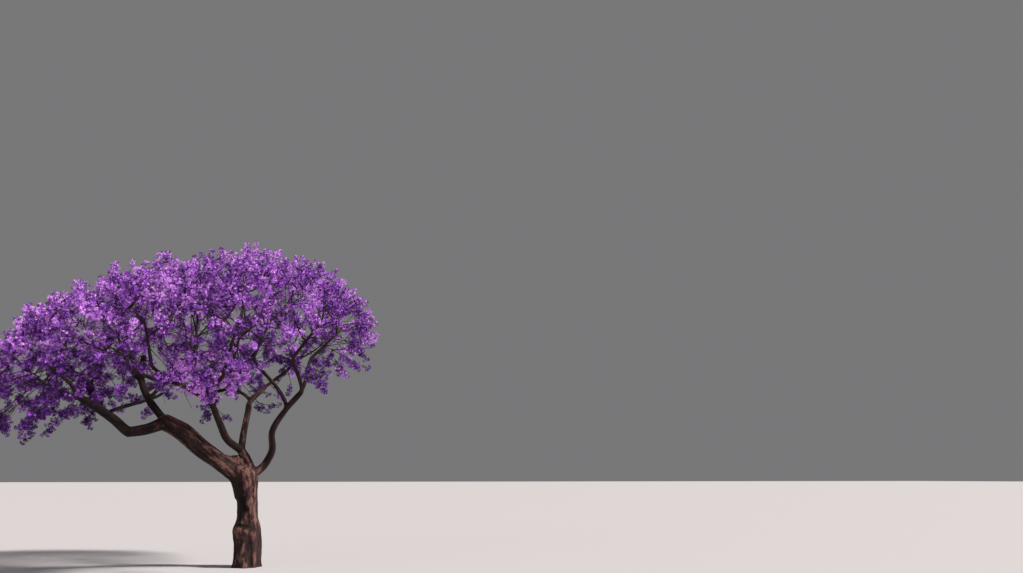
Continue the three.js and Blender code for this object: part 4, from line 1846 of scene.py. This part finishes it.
    def relief_and_painted_shading(self, points: Array, normals: Array) -> tuple[Array, Array, Array]:
        """Work out how far the bark stands out, how light it is with painted light and shade, and its
        grain.

        Args:
            points: The vertices, in millimetres, (n, 3).
            normals: The vertices' normals, (n, 3).

        Returns:
            How far each vertex stands out in millimetres, how light it is from 0 to 1 with painted
            light and shade in it, and the grain's coordinates in metres, shortened along the limb.
        """
        places, directions, sides, radii, distances = self.frames()
        nearest = self.nearest_samples(points, places, radii)
        off = points - places[nearest]
        along = (off * directions[nearest]).sum(axis=1)
        u = (off * sides[nearest]).sum(axis=1)
        v = (off * np.cross(directions[nearest], sides[nearest])).sum(axis=1)
        grain = np.stack([u, v, (distances[nearest] + along) * self.stretch], axis=1) * MM
        waves = np.array([self.waves_at(*place) for place in grain.tolist()])
        radii = radii[nearest]
        out = (waves @ np.array(self.wave_depths)) * np.minimum(self.widest, radii)
        return out, self.tone(points, normals, places[nearest, 0], radii, waves), grain

    def cut_level(self, piece: Piece) -> None:
        """Cut the trunk flat at the ground and close the cut.

        Args:
            piece: The bark, changed here.
        """
        work = bmesh.new()
        work.from_mesh(piece.data)
        everything = work.verts[:] + work.edges[:] + work.faces[:]
        cut = bmesh.ops.bisect_plane(
            work, geom=everything, plane_co=(0, 0, 0), plane_no=(0, 0, 1), clear_inner=True
        )
        rim = [part for part in cut["geom_cut"] if isinstance(part, bmesh.types.BMEdge)]
        bmesh.ops.contextual_create(work, geom=rim)
        work.to_mesh(piece.data)
        work.free()

    def build(self) -> Piece:
        """Build the finished bark.

        Returns:
            The piece, in metres.
        """
        piece = self.solid()
        self.fuse(piece)
        mesh = piece.data
        points = read_values(mesh.vertices, "co", 3).astype(float) / MM
        points = self.smooth_forks(points, read_values(mesh.edges, "vertices", 2, np.int32))
        move_vertices(mesh, points)
        mesh.update()
        normals = read_values(mesh.vertices, "normal", 3)
        out, share, grain = self.relief_and_painted_shading(points, normals)
        move_vertices(mesh, points + normals * out[:, None])
        attribute = mesh.attributes.new("grain", "FLOAT_VECTOR", "POINT")
        attribute.data.foreach_set("vector", grain.astype(np.float32).ravel())
        # The bark's tone, with painted light and shade in it.
        attribute = mesh.attributes.new("relief_and_painted_shading", "FLOAT", "POINT")
        attribute.data.foreach_set("value", share.astype(np.float32))
        self.cut_level(piece)
        mesh.shade_smooth()
        mesh.materials.clear()
        mesh.materials.append(self.finish.material())
        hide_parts("trunk", *(n for n in self.plan.limbs if n != "shoulder"))
        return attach(piece, "root")


@dataclass
class Twigs:
    """The stems, forks, branchlets and panicle stalks of the crown."""

    growths: list[MassTwigs]
    growth: Growth
    finish: TwigFinish
    overlap: float = 60.0
    fork_wander: float = 0.05
    branchlet_radius: float = 11.0
    bare_radius: float = 16.0
    branchlet_tip: float = 4.0
    stem_flush: float = 0.98
    stem_taper: float = 0.75
    fork_taper: float = 0.55
    fork_steps: int = 7
    branchlet_steps: int = 5
    stem_sides: int = 10
    fork_sides: int = 6
    branchlet_sides: int = 4
    stalk_sides: int = 3
    stalk_radii: Triple = (4.6, 3.4, 1.6)
    seed: int = 71

    def add_stems(self, batch: MeshBatch) -> None:
        """Add the stem of every mass, which starts inside its bough.

        Args:
            batch: The twigs.
        """
        shares = np.linspace(0.0, 1.0, self.fork_steps)
        base = self.growth.plan.bough_tip * self.stem_flush
        tip = self.growth.fork_radius * (self.growth.tip_count / 2.0) ** self.growth.power
        lines = []
        for twigs in self.growths:
            start, end = twigs.stem.start, twigs.stem.end
            start = start - unit(end - start) * self.overlap
            lines.append(start + (end - start) * shares[:, None])
        thick = base + (tip * self.stem_taper - base) * shares
        batch.add_tubes(np.array(lines), np.tile(thick, (len(lines), 1)), self.stem_sides)

    def add_forks(self, batch: MeshBatch) -> None:
        """Add every fork, bowed a little.

        Args:
            batch: The twigs.
        """
        rng = np.random.default_rng(self.seed)
        shares = np.linspace(0.0, 1.0, self.fork_steps)
        lines, thick = [], []
        for twigs in self.growths:
            for fork in twigs.forks:
                way = fork.end - fork.start
                side = unit(np.cross(way, rng.normal(size=3)))
                length = span(way)
                bow = side * length * self.fork_wander * np.sin(math.pi * shares)[:, None]
                lines.append(fork.start + way * shares[:, None] + bow)
                base = self.growth.fork_radius * fork.tips**self.growth.power
                thick.append(base * (1.0 - self.fork_taper * shares))
        batch.add_tubes(np.array(lines), np.array(thick), self.fork_sides)

    def add_branchlets(self, batch: MeshBatch) -> None:
        """Add the branchlets that show.

        Args:
            batch: The twigs.
        """
        shares = np.linspace(0.0, 1.0, self.branchlet_steps)
        lines, thick = [], []
        for twigs in self.growths:
            for branchlet in twigs.branchlets:
                if branchlet.shown:
                    lines.append(branchlet.line(shares))
                    base = self.branchlet_radius if branchlet.panicles else self.bare_radius
                    thick.append(base + (self.branchlet_tip - base) * shares)
        batch.add_tubes(np.array(lines), np.array(thick), self.branchlet_sides)

    def build_forks(self) -> Piece:
        """Build the stems, forks and branchlets.

        Returns:
            The piece that holds them.
        """
        batch = MeshBatch()
        self.add_stems(batch)
        self.add_forks(batch)
        self.add_branchlets(batch)
        return self.dress(batch, "twigs")

    def build_stalks(self, starts: Array, bends: Array, ends: Array) -> Piece:
        """Build the panicles' stalks.

        Args:
            starts: Where they leave their branchlets, (n, 3).
            bends: Places that they bend past, (n, 3).
            ends: Their tips, (n, 3).

        Returns:
            The piece that holds them.
        """
        batch = MeshBatch()
        middles = ((starts + ends) / 2.0 + bends) / 2.0
        radii = np.tile(self.stalk_radii, (len(starts), 1))
        batch.add_tubes(np.stack([starts, middles, ends], axis=1), radii, self.stalk_sides)
        return self.dress(batch, "panicle_stalks")

    def dress(self, batch: MeshBatch, name: str) -> Piece:
        """Build a twig piece, give it its finish and let it stand for the masses.

        Args:
            batch: The twigs.
            name: The piece's name.

        Returns:
            The piece.
        """
        piece = batch.build(name, True)
        piece.data.materials.append(self.finish.material())
        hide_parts(*("blossom_" + twigs.mass.name for twigs in self.growths))
        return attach(piece, "root")


def turned_about(ways: Array, turn: Array) -> Array:
    """Return unit vectors square to the ways, (n, k, 3), at angles (n, k) about them."""
    side = across(ways)
    other = np.cross(ways, side)
    turn = turn[..., None]
    return side[:, None, :] * np.cos(turn) + other[:, None, :] * np.sin(turn)


@dataclass
class Blossom:
    """Panicles of flowers on every branchlet, dealt into pieces by tint.

    Lengths are in millimetres and angles in radians, but the cymes' climb is in degrees. A pair
    of numbers is the least and the most of a share, or where something starts and how much
    further it goes.
    """

    crown: Crown
    plan: LimbPlan
    growths: list[MassTwigs]
    finishes: tuple[PetalFinish, ...]
    flower: Flower = Flower()
    panicle_length: float = 250.0
    panicle_radius: float = 30.0
    cymes: int = 4
    flowers: int = 4
    flower_length: float = 66.0
    flower_spread: float = 0.85
    bud_length: float = 32.0
    upward: float = 0.32
    gathered: float = 0.56
    thin_part: float = 0.62
    thickens_over: float = 0.42
    bare_above: float = 0.30
    flower_tone: float = 0.50
    shares: tuple[float, ...] = (0.22, 0.22, 0.21, 0.19, 0.16)
    seed: int = 4207
    last_share: float = 0.97
    length_range: Pair = (0.85, 1.12)
    turn_spread: float = 0.25
    levels: Pair = (-0.62, 1.15)
    least_room: float = 0.05
    room_range: Pair = (0.72, 1.0)
    forward: float = 60.0
    stalk_from: float = 0.78
    stalk_rise: float = 0.22
    stalk_back: float = 0.12
    stalk_range: Pair = (0.3, 0.95)
    clear: float = 45.0
    # Painted light: panicles higher in the crown get paler tints.
    painted_light_by_height: float = 0.25
    spray_tone: float = 0.30
    panicle_tone: float = 0.10
    edge: float = 1.005
    below: float = 160.0
    above: float = 40.0
    first_cyme: float = 0.35
    last_cyme: float = 0.3
    cyme_turn: float = 0.3
    cyme_places: Pair = (0.26, 0.66)
    cyme_jitter: float = 9.0
    narrowing: float = 0.6
    cyme_climb: Pair = (18.0, 52.0)
    lean_spread: float = 0.16
    nod: float = 0.12
    flower_range: Pair = (0.80, 1.12)
    bud_spread: float = 0.35
    bud_range: Pair = (0.75, 1.2)

    def lay_out(self) -> Rows:
        """Place every panicle.

        Returns:
            Arrays by name: start, base, way, length and tone, one row for each panicle.
        """
        rng = np.random.default_rng(self.seed)
        rows: dict[str, list] = {key: [] for key in ("start", "base", "way", "length", "tone")}
        for twigs in self.growths:
            for branchlet in twigs.branchlets:
                self.lay_out_spray(twigs.mass, branchlet, rng, rows)
        return {key: np.array(value) for key, value in rows.items()}

    def lay_out_spray(
        self, mass: Mass, branchlet: Branchlet, rng: np.random.Generator, rows: dict[str, list]
    ) -> None:
        """Place the panicles of one spray.

        Args:
            mass: The mass that it belongs to.
            branchlet: The twig that carries it.
            rng: Random numbers.
            rows: The panicles' arrays, added to here.
        """
        axis = branchlet.axis
        wide = across(axis[None])[0]
        thin = np.cross(axis, wide)
        thin_to = self.thin_part * (1.0 - mass.lush)
        height = self.crown.height_share(mass, branchlet.site)
        high = smoothstep(thin_to, thin_to + self.thickens_over, height)
        if not branchlet.glow and rng.random() > mass.lush + (1.0 - mass.lush) * high:
            branchlet.shown = branchlet.bears or height > self.bare_above
            return
        gathered = self.gathered + (1.0 - self.gathered) * high
        half_length, half_width, half_thickness = (size * gathered for size in branchlet.half)
        spray_draw = rng.random()
        turn = rng.random() * FULL_TURN
        count = branchlet.panicles
        for index in range(count):
            length = self.panicle_length * rng.uniform(*self.length_range)
            if index == count - 1:
                tip, share = branchlet.site, self.last_share
            else:
                angle = turn + GOLDEN_ANGLE * index + rng.normal(0.0, self.turn_spread)
                lowest, climb = self.levels
                level = lowest + climb * (index + 0.5) / count
                room = math.sqrt(max(self.least_room, 1.0 - level**2))
                room *= rng.uniform(*self.room_range)
                tip = branchlet.middle + axis * (level * half_length + self.forward)
                tip = tip + wide * math.cos(angle) * half_width * room
                tip = tip + thin * math.sin(angle) * half_thickness * room
                share = self.stalk_from + self.stalk_rise * level - self.stalk_back
                share = np.clip(share, *self.stalk_range)
            start = branchlet.line(np.array([share]))[0]
            way = tip - start
            way = unit(way / max(1.0, span(way)) + self.upward * UP)
            base = tip - way * length
            if not self.inside(mass, tip):
                continue
            if self.plan.clearance(np.array([tip, (tip + base) / 2.0])) < self.clear:
                continue
            # Painted light: higher panicles get paler tints; the spray's and panicle's draws are
            # random.
            tone = self.painted_light_by_height * self.crown.height_share(mass, tip)
            tone += self.spray_tone * spray_draw + self.panicle_tone * rng.random()
            # Painted light on the hem's sprays.
            tone += branchlet.glow
            for key, value in zip(rows, (start, base, way, length, tone)):
                rows[key].append(value)

    def inside(self, mass: Mass, tip: Array) -> bool:
        """Test whether a panicle keeps within the crown's reach.

        Args:
            mass: The mass that it belongs to.
            tip: Its tip.

        Returns:
            Whether it does.
        """
        x, y, z = tip
        if self.crown.share(x, y) > self.edge:
            return False
        lowest = self.crown.under(x, y) - self.below - mass.hang
        return lowest < z < self.crown.top(mass, x, y) + self.above

    def frames_for(self, ways: Array, sizes: Array, rng: np.random.Generator) -> Array:
        """Return scaled axes whose third row is the way, turned at random about it."""
        turn = rng.uniform(0.0, FULL_TURN, (len(ways), 1))
        first = turned_about(ways, turn)[:, 0]
        second = np.cross(ways, first)
        return np.stack([first, second, ways], axis=1) * sizes[:, None, None]

    def cymes_of(self, rows: Rows, rng: np.random.Generator) -> Rows:
        """Place the small clusters of flowers that make up the panicles.

        Args:
            rows: The panicles' arrays.
            rng: Random numbers.

        Returns:
            Arrays by name: place, way and tone, one row for each cluster.
        """
        number = len(rows["length"])
        steps = (np.arange(self.cymes) + self.first_cyme) / (self.cymes - self.last_cyme)
        way = rows["way"][:, None, :]
        turn = rng.uniform(0.0, FULL_TURN, (number, 1))
        turn = turn + GOLDEN_ANGLE * np.arange(self.cymes)
        turn = turn + rng.normal(0.0, self.cyme_turn, turn.shape)
        radial = turned_about(rows["way"], turn)
        first, onward = self.cyme_places
        along = (first + onward * steps) * rows["length"][:, None]
        along = (along + rng.normal(0.0, self.cyme_jitter, along.shape))[..., None]
        spread = self.panicle_radius * (1.0 - self.narrowing * steps)[None, :, None]
        first, onward = self.cyme_climb
        lift = np.radians(first + onward * steps)[None, :, None]
        return {
            "place": (rows["base"][:, None, :] + way * along + radial * spread).reshape(-1, 3),
            "way": (radial * np.cos(lift) + way * np.sin(lift)).reshape(-1, 3),
            "tone": np.repeat(rows["tone"], self.cymes),
        }

    def flowers_of(self, cymes: Rows, rng: np.random.Generator) -> tuple[Array, Array, Array]:
        """Place the flowers of the clusters.

        Args:
            cymes: The clusters' arrays.
            rng: Random numbers.

        Returns:
            The flowers' scaled axes (n, 3, 3), places (n, 3) and tones (n,).
        """
        number = len(cymes["way"])
        way = cymes["way"][:, None, :]
        turn = rng.uniform(0.0, FULL_TURN, (number, 1)) + turns(self.flowers)
        lean = rng.normal(self.flower_spread, self.lean_spread, (*turn.shape, 1))
        point = way * np.cos(lean) + turned_about(cymes["way"], turn) * np.sin(lean)
        point = unit(point - self.nod * UP)
        size = self.flower_length * rng.uniform(*self.flower_range, turn.shape)
        place = np.broadcast_to(cymes["place"][:, None, :], point.shape).reshape(-1, 3)
        tone = np.repeat(cymes["tone"], self.flowers)
        tone = tone + self.flower_tone * rng.random(len(tone))
        return self.frames_for(point.reshape(-1, 3), size.ravel(), rng), place, tone

    def buds_of(self, cymes: Rows, rng: np.random.Generator) -> tuple[Array, Array, Array]:
        """Place one bud in each cluster.

        Args:
            cymes: The clusters' arrays.
            rng: Random numbers.

        Returns:
            The buds' scaled axes (n, 3, 3), places (n, 3) and tones (n,).
        """
        number = len(cymes["way"])
        point = unit(cymes["way"] + rng.normal(0.0, self.bud_spread, (number, 3)))
        size = self.bud_length * rng.uniform(*self.bud_range, number)
        tone = cymes["tone"] + self.flower_tone * rng.random(number)
        return self.frames_for(point, size, rng), cymes["place"] + point * self.bud_length, tone

    def build(self, rows: Rows) -> list[Piece]:
        """Build one piece for each tint.

        Args:
            rows: The panicles' arrays.

        Returns:
            The new pieces.
        """
        rng = np.random.default_rng(self.seed + 1)
        cymes = self.cymes_of(rows, rng)
        kinds = (
            (self.flower.trumpet(), *self.flowers_of(cymes, rng)),
            (self.flower.bud(), *self.buds_of(cymes, rng)),
        )
        tones = np.sort(np.concatenate([tone for *_, tone in kinds]))[::-1]
        lasts = np.round(np.cumsum(self.shares) * len(tones)).astype(int) - 1
        most = math.inf
        pieces = []
        for finish, least in zip(self.finishes, tones[lasts]):
            batch = MeshBatch()
            for shape, frames, places, tone in kinds:
                chosen = (tone >= least) & (tone < most)
                batch.add_copies(shape, frames[chosen], places[chosen])
            most = least
            piece = batch.build("blossom_" + finish.tint.value, False)
            piece.data.materials.append(finish.material())
            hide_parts(*("blossom_" + twigs.mass.name for twigs in self.growths))
            pieces.append(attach(piece, "root"))
        return pieces


@dataclass(frozen=True)
class Studio:
    """A plain pale floor, soft lights and the camera of the photograph.

    A lamp is its name, strength, the way to it, its width in degrees and its colour.
    """

    floor_size: float = 900.0
    floor_colour: Colour = (0.44, 0.42, 0.42)
    floor_roughness: float = 0.9
    world_colour: Colour = (0.80, 0.79, 0.81)
    world_strength: float = 0.235
    lamps: tuple[tuple[str, float, Triple, float, Colour], ...] = (
        ("key", 6.4, (0.70, -0.38, 0.80), 9.0, (1.0, 0.96, 0.93)),
        ("fill", 0.35, (-0.75, -0.55, 0.35), 40.0, (0.93, 0.95, 1.0)),
    )
    camera_place: Triple = (0.0, -21.603, 2.123)
    camera_way: Triple = (0.29316506, 0.9270076, 0.23390418)
    lens: float = 28.0
    sensor: float = 36.0
    sight: float = 1500.0

    @staticmethod
    def turned(name: str, data: bpy.types.ID, way: Sequence[float], axis: str) -> Piece:
        """Return a new object in the scene, with its axis turned to a way."""
        thing = into_scene(name, data)
        thing.rotation_mode = "QUATERNION"
        thing.rotation_quaternion = Vector(way).to_track_quat(axis, "Y")
        return thing

    def build_floor(self) -> None:
        """Lay the floor, which isn't part of the tree."""
        half = self.floor_size / 2.0
        corners = [(-half, -half, 0), (half, -half, 0), (half, half, 0), (-half, half, 0)]
        mesh = bpy.data.meshes.new("floor")
        mesh.from_pydata(corners, [], [(0, 1, 2, 3)])
        floor = into_scene("floor", mesh)
        made = MaterialMaker("floor")
        shader = made.add("ShaderNodeBsdfPrincipled", Roughness=self.floor_roughness)
        shader.inputs["Base Color"].default_value = (*self.floor_colour, 1.0)
        mesh.materials.append(made.finished(shader.outputs["BSDF"]))

    def build_lights(self) -> None:
        """Add a soft key from the right, a weak fill from the left and a pale world."""
        for name, strength, source, angle, colour in self.lamps:
            light = bpy.data.lights.new(name, "SUN")
            light.energy = strength
            light.angle = math.radians(angle)
            light.color = colour
            self.turned(name, light, source, "Z")
        world = bpy.data.worlds.new("studio")
        world.use_nodes = True
        background = world.node_tree.nodes["Background"]
        background.inputs["Color"].default_value = (*self.world_colour, 1.0)
        background.inputs["Strength"].default_value = self.world_strength
        bpy.context.scene.world = world
        bpy.context.scene.view_settings.view_transform = "Standard"

    def build_camera(self) -> None:
        """Put the camera at the photograph's place and angle."""
        data = bpy.data.cameras.new("camera")
        data.lens = self.lens
        data.sensor_width = self.sensor
        data.clip_end = self.sight
        camera = self.turned("camera", data, self.camera_way, "-Z")
        camera.location = self.camera_place
        bpy.context.scene.camera = camera


def save_sizes() -> None:
    """Bring the view layer up to date."""
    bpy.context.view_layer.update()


def main() -> None:
    """Build the tree, the studio and the camera, and report each piece."""
    logging.basicConfig(level=logging.INFO, format="%(message)s")
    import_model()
    studio = Studio()
    studio.build_camera()
    studio.build_lights()
    studio.build_floor()
    trunk, crown = Trunk(), Crown()
    masses = crown.masses()
    plan = LimbPlan(trunk, crown, masses)
    bark = BarkSkin(trunk, plan, BarkFinish()).build()
    growth = Growth(crown, plan, masses)
    growths = [growth.grow(mass) for mass in masses]
    finishes = tuple(PetalFinish(tint, colour) for tint, colour in PALETTE.items())
    blossom = Blossom(crown, plan, growths, finishes)
    rows = blossom.lay_out()
    twigs = Twigs(growths, growth, TwigFinish())
    tips = rows["base"] + rows["way"] * rows["length"][:, None]
    pieces = [bark, twigs.build_forks(), twigs.build_stalks(rows["start"], rows["base"], tips)]
    pieces += blossom.build(rows)
    for piece in pieces:
        LOG.info("%s: %d faces", piece.name, len(piece.data.polygons))
    save_sizes()


if __name__ == "__main__":
    main()
